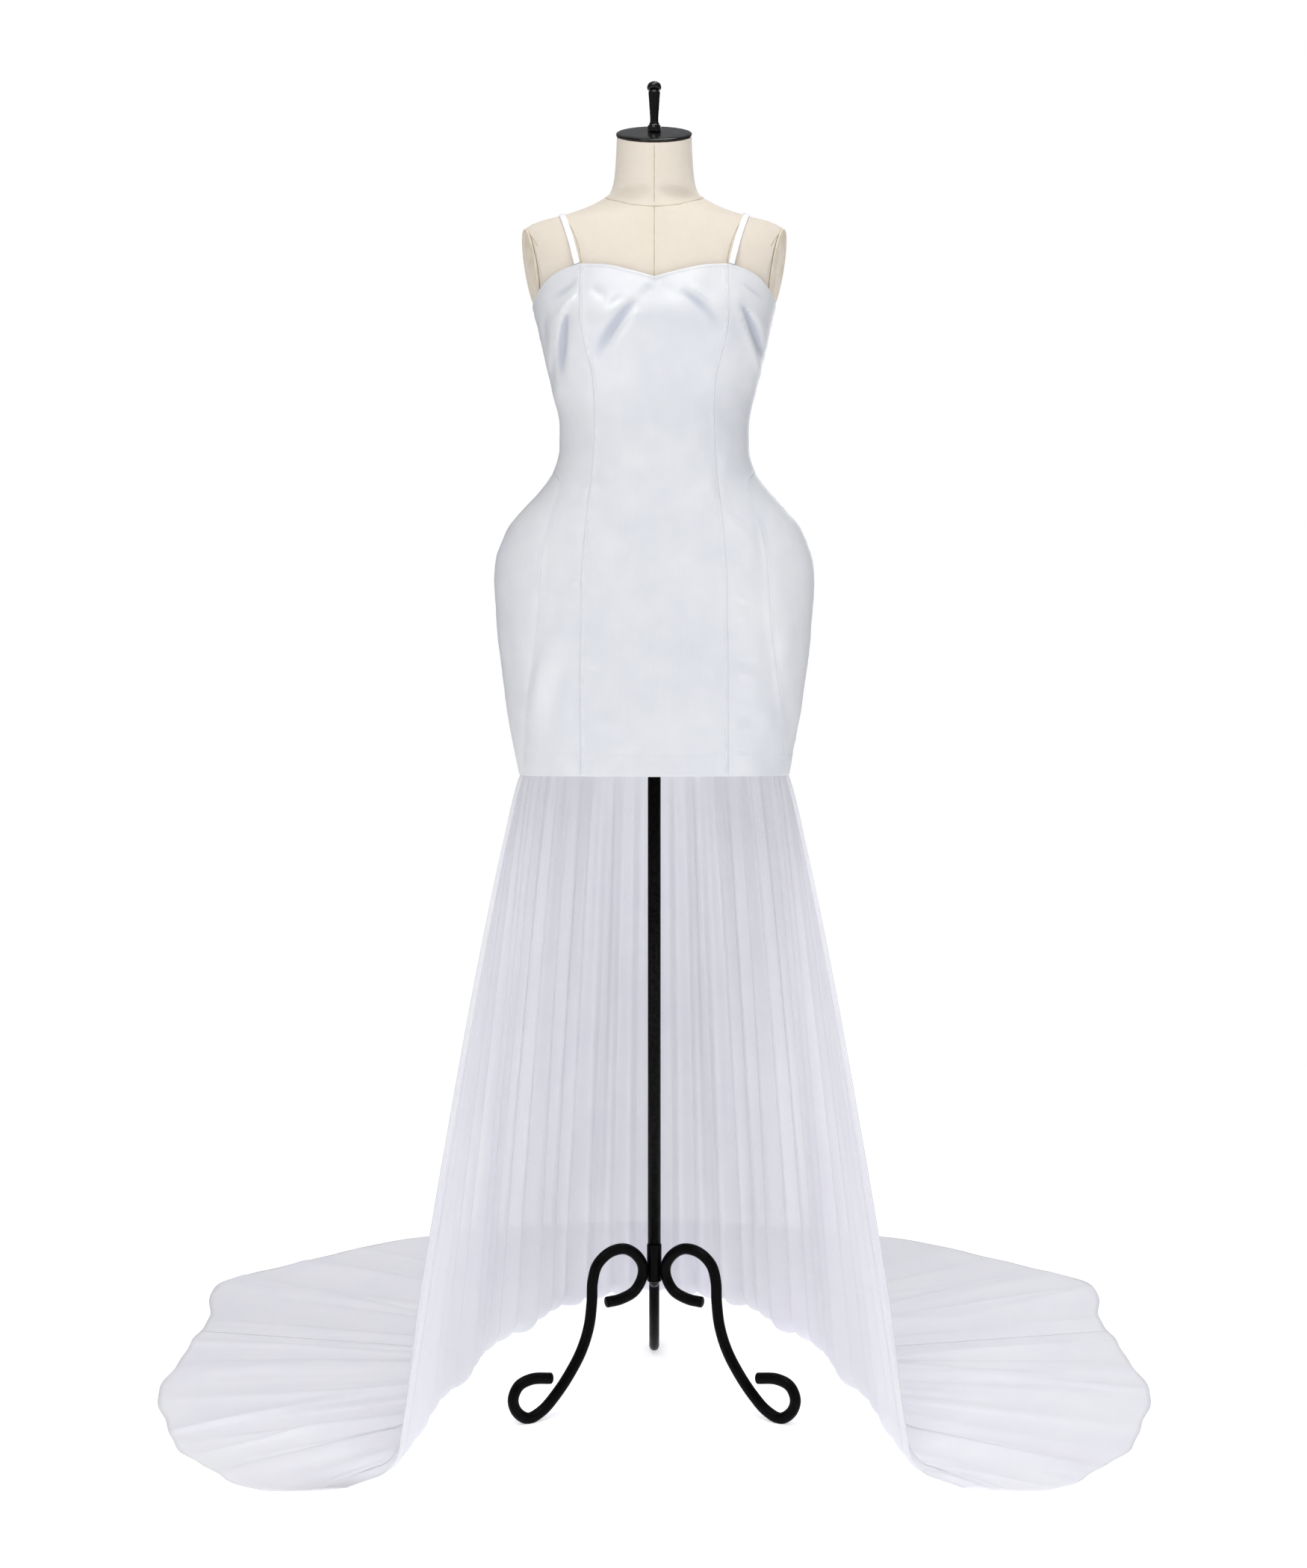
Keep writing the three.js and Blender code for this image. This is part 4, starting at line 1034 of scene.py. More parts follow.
def hip_panel(name, seam, side, seed):
    """A hip gore from the hip seam to the side seam. Its top edge follows the hip seam out to the side."""
    share = panel_columns(60)[None, :]
    low_z = rising_heights(HIP_ROW_Z)[:, None]
    low_angle = mix(seam(low_z), side, share)
    down = np.concatenate([np.linspace(HIP_BLEND, EDGE_STEPS[-1], 8)[1:-1], EDGE_STEPS[::-1]])
    rise = 1 - down[:, None] / HIP_BLEND
    top_z = mix(HIP_TOP_Z[0], HIP_TOP_Z[1], share) - SEAM_GAP
    high_z = mix(HIP_ROW_Z, top_z, rise)
    high_angle = mix(low_angle[-1:], seam(top_z + SEAM_GAP), rise)
    straight = mix(low_angle[-1, 0], seam(np.array([HIP_TOP_Z[0]]))[0], rise)
    high_angle = high_angle + (seam(mix(HIP_ROW_Z, HIP_TOP_Z[0], rise)) - straight) * (1 - share)
    angle = np.concatenate([low_angle, high_angle])
    z = np.concatenate([np.broadcast_to(low_z, low_angle.shape), high_z])
    satin_piece(name, angle, z, seed)


def sew_band(name, points, across, beside):
    """Two columns of slanting stitches beside a seam, one thread."""
    rows = len(points)
    inner, outer = BAND
    middle = (inner + outer) / 2
    height = run_of(points[:, :1], 0)[:, 0]
    stitches = []

    def spot(distance, up):
        row = np.interp(up, height, np.arange(rows))
        i = min(int(row), rows - 2)
        t = row - i
        run = across[i] if beside == "start" else across[i, -1] - across[i]
        order = slice(None) if beside == "start" else slice(None, None, -1)
        pair = []
        for line in points[i:i + 2, order]:
            pair.append(np.array([np.interp(distance, run[order], line[:, axis]) for axis in range(3)]))
        return mix(*pair, t)

    for up in np.arange(1.5, height[-1] - 3.5, STITCH_PITCH):
        for foot, head in ((inner, middle - 0.25), (outer, middle + 0.25)):
            stitches.append((spot(foot, up), spot(head, up + STITCH_PITCH * 0.72)))
    thread_piece(name, stitches)


def thread_piece(name, stitches):
    """Short stitches of thread as one mesh, each a small bowed bar that lies on the cloth round the body."""
    starts, ends = (np.array(column) for column in zip(*stitches))
    along = unit(ends - starts)
    out = unit(starts * [1, 1.4, 0])
    across = unit(np.cross(along, out))
    out = np.cross(across, along)
    around = spokes(full_turn(STITCH_SIDES), across, out)
    rings = []
    for share, lift, size in STITCH_RINGS:
        middle = mix(starts, ends, share)[:, None] + out[:, None] * THREAD_RADIUS * lift
        rings.append(middle + around * THREAD_RADIUS * size)
    points = np.stack(rings, axis=1).reshape(-1, 3)
    faces = []
    one = closed_faces(len(rings), STITCH_SIDES)
    for k in range(len(starts)):
        base = k * len(rings) * STITCH_SIDES
        faces += [[base + corner for corner in face] for face in one]
    new_object(name, points, faces, THREAD)


def build_satin():
    """The dress's eleven panels, each sewn up to its own seams."""
    long_panel("front_centre", lambda z: -princess(z), princess, 200, 1, ("start", "end"))
    for hand, sign, seed in (("left", -1, 10), ("right", 1, 20)):
        seams = {
            "princess_front": lambda z: sign * princess(z),
            "hip_front": lambda z: sign * hip(z),
            "hip_back": lambda z: sign * (math.pi - hip(z)),
            "princess_back": lambda z: sign * (math.pi - princess(z)),
            "zip": lambda z: sign * math.pi + 0 * z,
        }
        long_panel(f"front_side_{hand}", seams["princess_front"], seams["hip_front"], 80, seed)
        long_panel(f"back_side_{hand}", seams["hip_back"], seams["princess_back"], 80, seed + 2)
        long_panel(f"back_centre_{hand}", seams["princess_back"], seams["zip"], 100, seed + 4, ("start",))
        hip_panel(f"hip_front_{hand}", seams["hip_front"], sign * SIDE, seed + 6)
        hip_panel(f"hip_back_{hand}", seams["hip_back"], sign * SIDE, seed + 8)


def build_strap(name, sign):
    """A narrow strap from the neckline over the shoulder to the back edge."""
    points = []
    facings = []

    def put(x, z, back, end_z):
        turn = sign * (math.pi - angle_at(FORM, x, z) if back else angle_at(FORM, x, z))
        facing = outward(FORM, turn, z)
        on_form = section(FORM, turn, z) + facing * (0.4 + STRAP_THICK / 2)
        edge_turn = sign * (math.pi - angle_at(DRESS, x, z) if back else angle_at(DRESS, x, z))
        on_edge = section(DRESS, edge_turn, z) - outward(DRESS, edge_turn, z) * SATIN_THICK
        points.append(mix(on_form, on_edge, 1 - smooth((z - end_z) / STRAP_LEAVE)))
        facings.append(facing)

    for x, z in STRAP_FRONT:
        put(x, z, False, STRAP_FRONT[0][1])
    put(*STRAP_TOP, False, STRAP_FRONT[0][1])
    for x, z in STRAP_BACK:
        put(x, z, True, STRAP_BACK[-1][1])
    places = np.linspace(0, len(points) - 1, 90)
    line = curve_through(points, places)
    facing = unit(curve_through(facings, places))
    across = unit(np.cross(np.gradient(line, axis=0), facing)) * sign
    turn = full_turn(24)
    wide = np.sign(np.cos(turn)) * np.abs(np.cos(turn)) ** 0.35 * STRAP_WIDTH / 2
    deep = np.sign(np.sin(turn)) * np.abs(np.sin(turn)) ** 0.5 * STRAP_THICK / 2
    rings = line[:, None] + wide[None, :, None] * across[:, None] + deep[None, :, None] * facing[:, None]
    faces = closed_faces(len(line), len(turn))
    piece = new_object("satin_" + name, rings.reshape(-1, 3), faces, STRAP)
    stand_for(piece, "strap", name)


# The zip's coil: its lower and upper end, and the height of one winding
ZIP_Z = (1213, 1487)
COIL_PITCH = 1.5


def build_zip():
    """The zip's coil between the two back panels: a fine thread wound from side to side."""
    turns = int((ZIP_Z[1] - ZIP_Z[0]) / COIL_PITCH)
    wind = np.linspace(0, 2 * math.pi * turns, 12 * turns)
    z = np.linspace(*ZIP_Z, len(wind))
    facing = outward(DRESS, np.full_like(z, math.pi), z)
    line = section(DRESS, np.full_like(z, math.pi), z) + facing * (0.35 + 0.35 * np.sin(wind))[:, None]
    line[:, 0] += 1.5 * np.cos(wind)
    coil = tube("zip_coil", line, 0.42, 5, THREAD, 0.1)


# Net train

# The net's grid: columns on each side, and rows that hang, bend at the floor and lie on it
NET_COLUMNS = 360
NET_HANG_ROWS = 104
NET_BEND_ROWS = 8
NET_FLOOR_ROWS = 44
# How far the net runs up behind the satin's hem, and how far it lies behind the satin's face
NET_TUCK = 7
NET_INSET = 2.2
# Which way and how far each fold lies over, hanging and on the floor, from the front edge to the middle back
FOLD_LEANS = [
    (1.2, 3), (-0.5, -2.5), (1.7, 5), (0.9, 2), (-1.4, -5), (1.6, 4), (0.4, 6), (-1.1, -3),
    (1.5, 5), (-0.7, 3.5), (1.9, -6), (-1.6, 4), (0.6, 2.5), (1.4, -4), (-1.8, 5), (-0.8, -3),
]
# How deep each fold is, as a share of the deepest
FOLD_SIZES = [0.7, 0.35, 0.95, 0.5, 0.8, 0.4, 1, 0.45, 0.65, 0.9, 0.4, 0.75, 0.5, 1, 0.45, 0.7]
# How many small gathers and low floor ripples there are on each side
FINE_GATHERS = 44
FLOOR_RIPPLES = 34
# How far the net bows in between its folds where it lands, and the waves along its outer edge
LANDING_LOBE = 12
EDGE_WAVES = (7, 3.5, 1)
# How thin the net runs out at its edge, as a share of its thickness
EDGE_THIN = 0.25
# The random draws of the small gathers and ripples start from this number
NET_SEED = 40
# How many columns of the grid one look at how closely the net is folded takes in
CROWD_WINDOW = 25
# Where the net looks double, more opaque and greyer with painted shade: from and to along the gathered edge,
# how far down, and how much closer it looks
DOUBLED = [
    (0.06, 0.1, 0.5, 0.25), (0.19, 0.25, 0.8, 0.3), (0.33, 0.36, 0.4, 0.35), (0.45, 0.53, 0.7, 0.25),
    (0.6, 0.63, 0.9, 0.3), (0.7, 0.77, 0.6, 0.35), (0.845, 0.9, 0.75, 0.45), (0.94, 0.965, 0.45, 0.4),
]


def net_folds(share):
    """The fold at a place along the gathered edge: number, depth, and 0 in its valley to 1 on its ridge."""
    uneven = share + 0.006 * np.sin(5 * math.pi * share) + 0.0045 * np.sin(13 * math.pi * share)
    fold = np.clip(uneven, 0, 1) * NET_FOLDS
    number = np.minimum(fold, NET_FOLDS - 1e-6).astype(int)
    return number, np.array(FOLD_SIZES)[number], 0.5 - 0.5 * np.cos(2 * math.pi * fold)


def fine_gathers(share, t, seed):
    """The height of the small gathers at a share of the way down: each fades out at its own length."""
    draw = np.random.default_rng(seed)
    relief = np.zeros_like(share)
    for _ in range(FINE_GATHERS):
        place = draw.uniform(0.004, 0.996)
        wide = draw.uniform(0.004, 0.011)
        height = draw.uniform(0.3, 1.3)
        reach = draw.uniform(0.06, 0.5)
        drift = draw.uniform(-0.012, 0.012) * t
        fade = 1 - smooth((t - reach * 0.4) / (reach * 0.7))
        relief += height * fade * (1 + 0.9 * t) * groove(share - place - drift, wide)
    return relief


def floor_ripples(share, t, seed):
    """The height of the low ripples that run out across the floor, each with its own start and end."""
    draw = np.random.default_rng(seed)
    relief = np.zeros_like(share)
    for _ in range(FLOOR_RIPPLES):
        place = draw.uniform(0.01, 0.99)
        wide = draw.uniform(0.004, 0.016)
        height = draw.uniform(1.5, 5)
        middle = draw.uniform(0.1, 0.95)
        reach = draw.uniform(0.2, 0.6)
        drift = draw.uniform(-0.05, 0.05) * (t - middle)
        relief += height * np.exp(-(((share - place - drift) / wide) ** 2) - ((t - middle) / reach) ** 2)
    return relief


def edge_waves(share, lengths, sizes):
    """Uneven waves along the gathered edge, which fade out at its two ends."""
    waves = 0
    for k, (length, size) in enumerate(zip(lengths, sizes)):
        waves = waves + size * np.sin(share * length + 1.7 * k)
    return waves * smooth(share / 0.03) * smooth((1 - share) / 0.03)


def net_points(share, sign, seed):
    """The net's underside as a grid, from the hem down to the floor and out to the edge."""
    places = np.interp(share, TRAIN[:, 0], np.arange(len(TRAIN)))
    level = np.zeros((len(TRAIN), 1))
    land = curve_through(np.hstack([TRAIN[:, 1:3], level]), places)
    end = curve_through(np.hstack([TRAIN[:, 3:5], level]), places)
    turn = -mix(NET_START, math.pi, share)
    hem_facing = unit(outward(DRESS, turn, np.full_like(turn, HEM_Z)) * [1, 1, 0])
    hem = section(DRESS, turn, np.full_like(turn, HEM_Z)) - hem_facing * NET_INSET
    away = unit(end - land)
    number, height, hang = net_folds(share)
    lying = hang * hang
    lean_hang, lean_floor = np.array(FOLD_LEANS)[number].T
    keep_ends = smooth(share / 0.01) * smooth((1 - share) / 0.01)
    bowed_in = LANDING_LOBE * (1 - hang) ** 0.6 * keep_ends + edge_waves(share, (23, 61), (5, 4))
    land = land - away * bowed_in[:, None]
    end = end + away * edge_waves(share, (19, 53, 127), EDGE_WAVES)[:, None]
    rows = []

    def put(point, facing, depth, lies, t, ripples=0):
        """Adds a row, whose folds stand out along the facing and lie over along the row."""
        rise = depth * height * mix(hang * 0.8, lying * 0.75, lies)
        fine = fine_gathers(share, t, seed) * (1 - lies) * keep_ends * (0.15 + 0.85 * smooth(t / 0.07))
        fine = fine + ripples * keep_ends
        beside = unit(np.gradient(point, axis=0))
        over = rise * mix(lean_hang * 0.5, lean_floor * 0.6, lies)
        rows.append(point + facing * (rise + fine)[:, None] + beside * over[:, None])

    top = hem + [0, 0, NET_TUCK]
    for t in (0, 0.5):
        put(mix(top, hem, t) - hem_facing * 0.4, hem_facing, 0.3, 0, 0)
    for i in range(NET_HANG_ROWS + 1):
        t = i / NET_HANG_ROWS
        point = mix(hem, land, t**NET_FLARE)
        point[:, 2] = mix(HEM_Z - SEAM_GAP, NET_BEND_RADIUS, t)
        near_floor = 1 - 0.45 * smooth((t - 0.78) / 0.22)
        depth = mix(FOLD_DEPTH["hem"], FOLD_DEPTH["low"], math.sqrt(t)) * near_floor
        put(point, unit(mix(hem_facing, away, t * t)), depth, 0, t)
    floor_start = land + away * NET_BEND_RADIUS
    for i in range(1, NET_BEND_ROWS + 1):
        lies = i / NET_BEND_ROWS
        facing = away * math.cos(SIDE * lies) + np.array([0, 0, math.sin(SIDE * lies)])
        point = floor_start - facing * NET_BEND_RADIUS + [0, 0, NET_BEND_RADIUS]
        put(point, facing, mix(FOLD_DEPTH["low"] * 0.55, FOLD_DEPTH["floor"], lies), lies, 1)
    up = np.broadcast_to([0.0, 0, 1], land.shape)
    for i in range(1, NET_FLOOR_ROWS + 1):
        t = i / NET_FLOOR_ROWS
        ripples = floor_ripples(share, t, seed + 7) * smooth(t / 0.1)
        put(mix(floor_start, end, t), up, mix(FOLD_DEPTH["floor"], FOLD_DEPTH["edge"], t), 1, 1, ripples)
    grid = np.array(rows)
    grid[..., 2] = np.maximum(grid[..., 2], 0) + NET_THICK
    grid[-1, :, 2] = NET_THICK * EDGE_THIN
    grid[..., 0] *= -sign
    return grid


def thin_edge(piece, columns):
    """Lets the net run out thin at its outer edge, the grid's last row."""
    group = piece.vertex_groups.new(name="thickness")
    last = len(piece.data.vertices) - columns
    group.add(range(last), 1.0, "REPLACE")
    group.add(range(last, last + columns), EDGE_THIN, "REPLACE")
    piece.modifiers["thickness"].vertex_group = group.name


def build_net():
    """Four widths of net, two on each side, gathered on to the satin's hem."""
    for hand, sign in (("left", -1), ("right", 1)):
        for part, start, end in (("front", 0, 0.5), ("back", 0.5, 1)):
            share = np.linspace(start, end, NET_COLUMNS // 2 + 1)
            grid = net_points(share, sign, NET_SEED + sign)
            piece = cloth(f"tulle_{part}_{hand}", grid, NET, NET_THICK, sign)
            stand_for(piece, "net", f"net_{part}_{hand}")
            thin_edge(piece, grid.shape[1])
            # How gathered the net is, plus bands that look two-layered and the painted shadow of the dress
            # under the hem: more opaque and painted greyer in its material
            crowd = np.clip(0.4 * crowding(grid) + doubled_and_hem_shadow(share), 0, 1)
            store(piece, "crowd", crowd if sign > 0 else crowd[:, ::-1])


def doubled_and_hem_shadow(share):
    """How much closer the net looks at each point, which also greys it as painted shade: in bands where it
    lies in two layers, and just under the hem, where the grey is a painted shadow of the dress.
    """
    hanging = np.linspace(0, 1, NET_HANG_ROWS + 1)
    down = np.concatenate([[0, 0], hanging, np.ones(NET_BEND_ROWS + NET_FLOOR_ROWS)])[:, None]
    total = 0.45 * groove(down, 0.11) * np.ones_like(share)
    for start, end, reach, much in DOUBLED:
        within = smooth((share - start) / 0.004) * smooth((end - share) / 0.004)
        total = total + much * within * (1 - smooth((down - reach * 0.3) / (reach * 0.7)))
    return total


def crowding(grid):
    """How closely the cloth is folded at each point: 0 where it lies open, towards 1 in tight gathers."""
    reach = CROWD_WINDOW // 2
    even = np.ones(CROWD_WINDOW) / CROWD_WINDOW
    step = np.linalg.norm(np.gradient(grid, axis=1), axis=-1)
    base = np.array([np.convolve(np.pad(row, reach, mode="edge"), even, "valid") for row in step])
    padded = np.pad(grid, ((0, 0), (reach, reach), (0, 0)), mode="edge")
    chord = np.linalg.norm(padded[:, 2 * reach:] - padded[:, :-2 * reach], axis=-1)
    chord[:, :reach] = chord[:, [reach]]
    chord[:, -reach:] = chord[:, [-reach - 1]]
    return np.clip((base * 2 * reach / np.maximum(chord, 1e-3) - 1) / 1.5, 0, 1)


# Dress form

NECK_UP = np.array([0, -math.sin(NECK_TILT), math.cos(NECK_TILT)])
# The form's grid: points round it and the step between its rows, and how thick its sewn lines are
FORM_SIDES = 180
FORM_STEP = 4
FORM_SEAM_RADIUS = 0.5
# Seams of the form: name, whether on its back, and distance from the middle and height along each
FORM_SEAMS = [
    ("centre_front", False, [(0, 1640), (0, 1580), (0, 1524)]),
    ("neck_front", False, [(0, 1725), (0, 1685), (0, 1645)]),
    ("centre_back", True, [(0, 1698), (0, 1600), (0, 1480)]),
    ("neck_back", True, [(0, 1778), (0, 1740), (0, 1706)]),
    ("shoulder_front", False, [(126, 1633), (119, 1622), (109, 1601), (101, 1575), (98, 1556), (97, 1532)]),
    ("shoulder_back", True, [(126, 1630), (116, 1600), (108, 1560), (103, 1520), (100, 1480)]),
    ("tip_front", False, [(179, 1616), (170, 1607), (159, 1588)]),
    ("tip_back", True, [(179, 1614), (170, 1603), (160, 1584)]),
]


def cut_off(mesh, point, facing):
    """Cuts away what lies beyond a plane and closes the cut."""
    where = Vector(np.asarray(point) * MM + POLE_PLACE)
    geometry = mesh.verts[:] + mesh.edges[:] + mesh.faces[:]
    plane = {"plane_co": where, "plane_no": Vector(facing)}
    cut = bmesh.ops.bisect_plane(mesh, geom=geometry, clear_outer=True, **plane)
    rim = [e for e in cut["geom_cut"] if isinstance(e, bmesh.types.BMEdge)]
    bmesh.ops.contextual_create(mesh, geom=rim)


def form_body(name, cuts, node):
    """The padded form's whole surface in linen, kept only on the near side of its cuts."""
    heights = np.arange(FORM_BOTTOM_Z, FORM_TOP_Z + 1, FORM_STEP, dtype=float)[:, None]
    points = section(FORM, full_turn(FORM_SIDES)[None, :], heights)
    piece = new_object(name, points.reshape(-1, 3), closed_faces(len(heights), FORM_SIDES), LINEN)
    mesh = bmesh.new()
    mesh.from_mesh(piece.data)
    for point, facing in cuts:
        cut_off(mesh, point, facing)
    for edge in mesh.edges:
        edge.smooth = len(edge.link_faces) == 2 and edge.calc_face_angle(0) < math.radians(40)
    mesh.to_mesh(piece.data)
    mesh.free()
    stand_for(piece, "linen", node)


def on_form(x, z, back, lift):
    """Points over the form's surface, at distances from the middle and heights, on its front or its back."""
    x, z = np.asarray(x, float), np.asarray(z, float)
    turn = angle_at(FORM, np.abs(x), z)
    turn = np.sign(x + 1e-6) * (math.pi - turn if back else turn)
    return section(FORM, turn, z) + outward(FORM, turn, z) * lift


def sew_form():
    """The form's seams: sewn lines down its front, back and shoulders, and round the foot of the neck."""
    for name, back, line in FORM_SEAMS:
        places = np.linspace(0, len(line) - 1, 30 * len(line))
        for hand in (-1, 1) if line[0][0] else (1,):
            x, z = curve_through([(hand * x, z, 0) for x, z in line], places)[:, :2].T
            side = {-1: "_left", 1: "_right"}[hand] if line[0][0] else ""
            line_on_form = on_form(x, z, back, 0.1)
            piece = tube("form_seam_" + name + side, line_on_form, FORM_SEAM_RADIUS, 6, SEAM, 0.1)
    turn = full_turn(160)
    z = np.full_like(turn, NECK_BASE_Z)
    for _ in range(20):
        z = NECK_BASE_Z + section(FORM, turn, z)[:, 1] * math.tan(NECK_TILT)
    ring("form_seam_neck", section(FORM, turn, z) + outward(FORM, turn, z) * 0.05, 0.6, 6, SEAM)


def plate_facing(sign):
    """The way that an arm plate faces: out to its side, a little forward and down."""
    level = math.cos(PLATE_LEAN)
    across = sign * math.cos(PLATE_TURN) * level
    return np.array([across, -math.sin(PLATE_TURN) * level, -math.sin(PLATE_LEAN)])


def plate_centre(sign):
    return np.array([sign * PLATE_PLACE[0], PLATE_PLACE[1], PLATE_PLACE[2]])


def build_plate(hand, sign):
    """An oval plate over the arm's cut, with a rounded rim."""
    facing = plate_facing(sign)
    up = unit(np.array([0, 0, 1]) - facing * facing[2])
    across = np.cross(up, facing)
    wide, high = across * PLATE_HALF_DEPTH, up * PLATE_HALF_HEIGHT
    name = f"arm_plate_{hand}"
    piece = oval_plate(name, plate_centre(sign), wide, high, facing, PLATE_PROFILE, 96, PLATE)
    stand_for(piece, "arm_plate", f"form_arm_plate_{hand}")


def build_form():
    """The padded torso and neck, cut at the arms and the neck's foot, with what is fixed to them."""
    base = np.array([0, 0, NECK_BASE_Z])
    top = np.array([0, 0, NECK_TOP_Z])
    cuts = [(base, NECK_UP)]
    for sign in (-1, 1):
        cuts.append((plate_centre(sign) - plate_facing(sign) * SEAM_GAP, plate_facing(sign)))
    form_body("linen_torso", cuts, "form_torso")
    form_body("linen_neck", [(base + NECK_UP * SEAM_GAP, -NECK_UP), (top, NECK_UP)], "form_neck")
    for hand, sign in (("left", -1), ("right", 1)):
        build_plate(hand, sign)
    sew_form()
    build_neck_top(top)


def build_neck_top(top):
    """The turned black cap on the neck and its upright handle."""
    side = np.array([1.0, 0, 0])
    wide, high = side * CAP_HALF_WIDTH, np.cross(NECK_UP, side) * CAP_HALF_DEPTH
    foot = top + NECK_UP * SEAM_GAP
    cap = oval_plate("turned_cap", foot, wide, high, NECK_UP, CAP_PROFILE, 120, GLOSS)
    stand_for(cap, "gloss_black", "neck_cap")
    line = top + spokes(full_turn(120), wide, high) * 0.985 + NECK_UP * 0.5
    ring("cap_band", line, 0.7, 8, CAP_BAND)
    centre = top + NECK_UP * (CAP_THICK + 2 * SEAM_GAP)
    handle = turned("turned_handle", HANDLE_PROFILE, 96, GLOSS, (0, centre[1], 0), (GRIP_Z, GRIP_FLATS))
    mesh = bmesh.new()
    mesh.from_mesh(handle.data)
    cut_off(mesh, centre, -NECK_UP)
    mesh.to_mesh(handle.data)
    mesh.free()
    crisp(handle, 35)
    stand_for(handle, "gloss_black", "neck_handle")


# Stand

def build_stand():
    """The iron pole in its sleeve, and three scrolled legs."""
    low, high = SLEEVE_Z[1] + SEAM_GAP, FORM_BOTTOM_Z - SEAM_GAP
    pole = turned("iron_pole", [(0, low), (POLE_RADIUS, low), (POLE_RADIUS, high), (0, high)], 48, IRON)
    stand_for(pole, "iron", "pole")
    sleeve_profile = [
        (0, SLEEVE_Z[0]), (8.6, SLEEVE_Z[0]), (9.8, SLEEVE_Z[0] + 0.8), (SLEEVE_RADIUS, SLEEVE_Z[0] + 2.2),
        (SLEEVE_RADIUS, SLEEVE_Z[1] - 1.6), (9.8, SLEEVE_Z[1] - 0.4), (9.3, SLEEVE_Z[1]), (0, SLEEVE_Z[1]),
    ]
    sleeve = turned("iron_sleeve", sleeve_profile, 48, IRON)
    stand_for(sleeve, "iron", "stand_sleeve")
    for name, degrees in LEG_TURNS.items():
        turn = math.radians(degrees)
        line = [(-r * math.sin(turn), -r * math.cos(turn), z - ROD_SINK) for r, z in LEG_LINE]
        steps = curve_through(line, np.linspace(0, len(line) - 1, 190))
        piece = tube("iron_" + name, steps, ROD_RADIUS, 24, IRON)
        for vertex in piece.data.vertices:
            vertex.co.z = max(vertex.co.z, 0)
        crisp(piece, 50)
        stand_for(piece, "iron", name)


# Camera, floor and light

# Room sizes are in metres. The floor fades to plain white between these two distances
FLOOR_REACH = 14
FLOOR_FADE = (1.5, 3.2)
FLOOR_GLOW = 0.5
# Where the room is brightest, and how bright it is on its dark side and there
BRIGHT_WAY = (-0.2, -0.45, 0.87)
WORLD_LIGHT = (0.06, 0.37)


def build_camera():
    """A level camera in front of the dress, as far away and as high as the photograph's was."""
    camera = bpy.data.objects.new("camera", bpy.data.cameras.new("camera"))
    bpy.context.scene.collection.objects.link(camera)
    camera.location = (POLE_X, POLE_Y - CAMERA_DISTANCE * MM, CAMERA_Z * MM)
    camera.rotation_euler = (SIDE, 0, 0)
    camera.data.sensor_width = SENSOR
    camera.data.lens = SENSOR * CAMERA_DISTANCE / (MM_PER_PIXEL * PHOTO_HEIGHT)
    camera.data.shift_x = (PHOTO_MIDDLE[0] - AXIS_PIXEL[0]) / PHOTO_HEIGHT
    camera.data.shift_y = (AXIS_PIXEL[1] - PHOTO_MIDDLE[1]) / PHOTO_HEIGHT
    bpy.context.scene.camera = camera


def add_light(name, place, size, power, colour, aim_z=1.1):
    """A soft square light aimed at a height on the dress."""
    light = bpy.data.lights.new(name, "AREA")
    light.size = size
    light.energy = power
    light.color = colour
    lamp = bpy.data.objects.new(name, light)
    bpy.context.scene.collection.objects.link(lamp)
    lamp.location = place
    aim = Vector((0, POLE_Y, aim_z)) - lamp.location
    lamp.rotation_euler = aim.to_track_quat("-Z", "Y").to_euler()


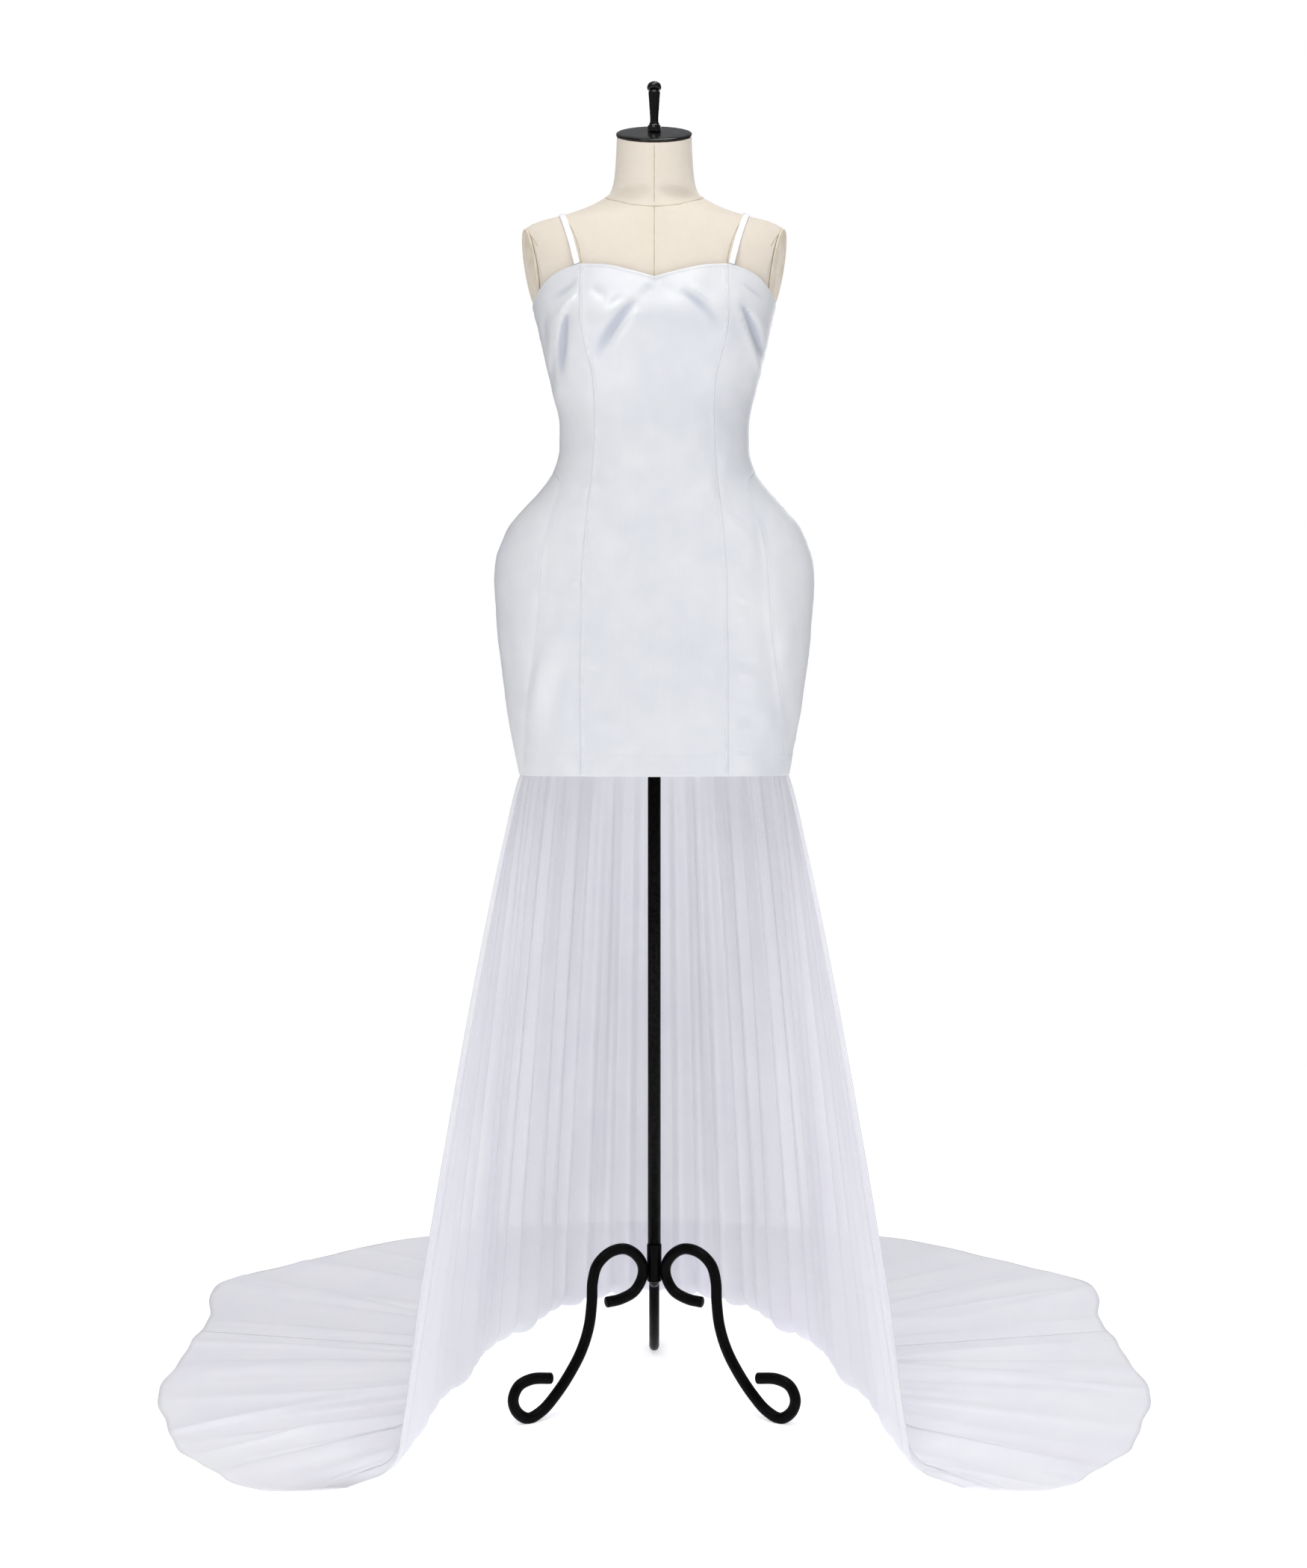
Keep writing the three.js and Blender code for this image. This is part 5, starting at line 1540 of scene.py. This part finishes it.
def build_floor():
    """A pale floor that fades to plain white away from the dress."""
    material, nodes, inputs = principled("pale_floor", Specular_IOR_Level=0.1)
    patches = nodes.group(PATCHES, Place=nodes.on_object(), Scale=1.5, Sharpness=0.1)["Mask"]
    from_dress = nodes.add("VectorMath", {"operation": "LENGTH"})
    nodes.feed(from_dress.inputs[0], nodes.on_object())
    far = nodes.rising(from_dress.outputs["Value"], *FLOOR_FADE)
    pale = nodes.mixed(patches, srgb(250, 250, 251), srgb(247, 247, 249))
    nodes.feed(inputs["Base Color"], nodes.mixed(far, pale, srgb(0, 0, 0)))
    nodes.feed(inputs["Roughness"], nodes.between(patches, 0.85, 0.95))
    inputs["Emission Color"].default_value = (1, 1, 1, 1)
    nodes.feed(inputs["Emission Strength"], nodes.between(far, FLOOR_GLOW, 1.0))
    mesh = bpy.data.meshes.new("floor")
    corners = [(x * FLOOR_REACH, y * FLOOR_REACH, 0) for x, y in ((-1, -1), (1, -1), (1, 1), (-1, 1))]
    mesh.from_pydata(corners, [], [(0, 1, 2, 3)])
    mesh.materials.append(material)
    floor = bpy.data.objects.new("floor", mesh)
    bpy.context.scene.collection.objects.link(floor)


def build_world():
    """White behind everything, and a softer light on the dress, brighter from the front and above."""
    world = bpy.data.worlds.new("studio")
    world.use_nodes = True
    nodes = Nodes(world.node_tree)
    seen = world.node_tree.nodes["Background"]
    seen.inputs["Color"].default_value = (1, 1, 1, 1)
    toward = nodes.add("VectorMath", {"operation": "DOT_PRODUCT"})
    nodes.feed(toward.inputs[0], nodes.add("TexCoord").outputs["Generated"])
    toward.inputs[1].default_value = BRIGHT_WAY
    share = nodes.rising(toward.outputs["Value"], -0.8, 1.0)
    lit = nodes.add("Background", Color=nodes.mixed(share, (0.86, 0.9, 1, 1), (1, 0.99, 0.97, 1)),
                    Strength=nodes.between(share, *WORLD_LIGHT))
    switch = nodes.add("MixShader", Fac=nodes.add("LightPath").outputs["Is Camera Ray"])
    nodes.feed(switch.inputs[1], lit.outputs[0])
    nodes.feed(switch.inputs[2], seen.outputs[0])
    nodes.feed(world.node_tree.nodes["World Output"].inputs["Surface"], switch.outputs[0])
    bpy.context.scene.world = world


def build_room():
    build_floor()
    build_world()
    add_light("key", (-0.4, -2.1, 3.8), 2.0, 49, (1, 0.99, 0.97))
    add_light("fill", (2.0, -3.2, 1.9), 2.4, 7, (0.95, 0.97, 1))
    add_light("top", (0.5, -0.6, 3.9), 1.2, 25, (1, 1, 1))
    add_light("low_left", (-1.7, -2.2, 0.5), 1.0, 8, (0.97, 0.98, 1), 0.4)
    add_light("low_right", (1.8, -2.2, 0.5), 1.0, 9, (0.97, 0.98, 1), 0.4)
    add_light("back", (0.8, 3.4, 2.4), 2.2, 34, (0.97, 0.98, 1))
    bpy.context.scene.view_settings.view_transform = "Standard"


build_camera()
build_satin()
build_strap("strap_left", -1)
build_strap("strap_right", 1)
build_zip()
build_net()
build_form()
build_stand()
for node in ("zip_slider", "zip_pull"):
    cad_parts[node].data.materials.clear()
    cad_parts[node].data.materials.append(METAL)
build_room()
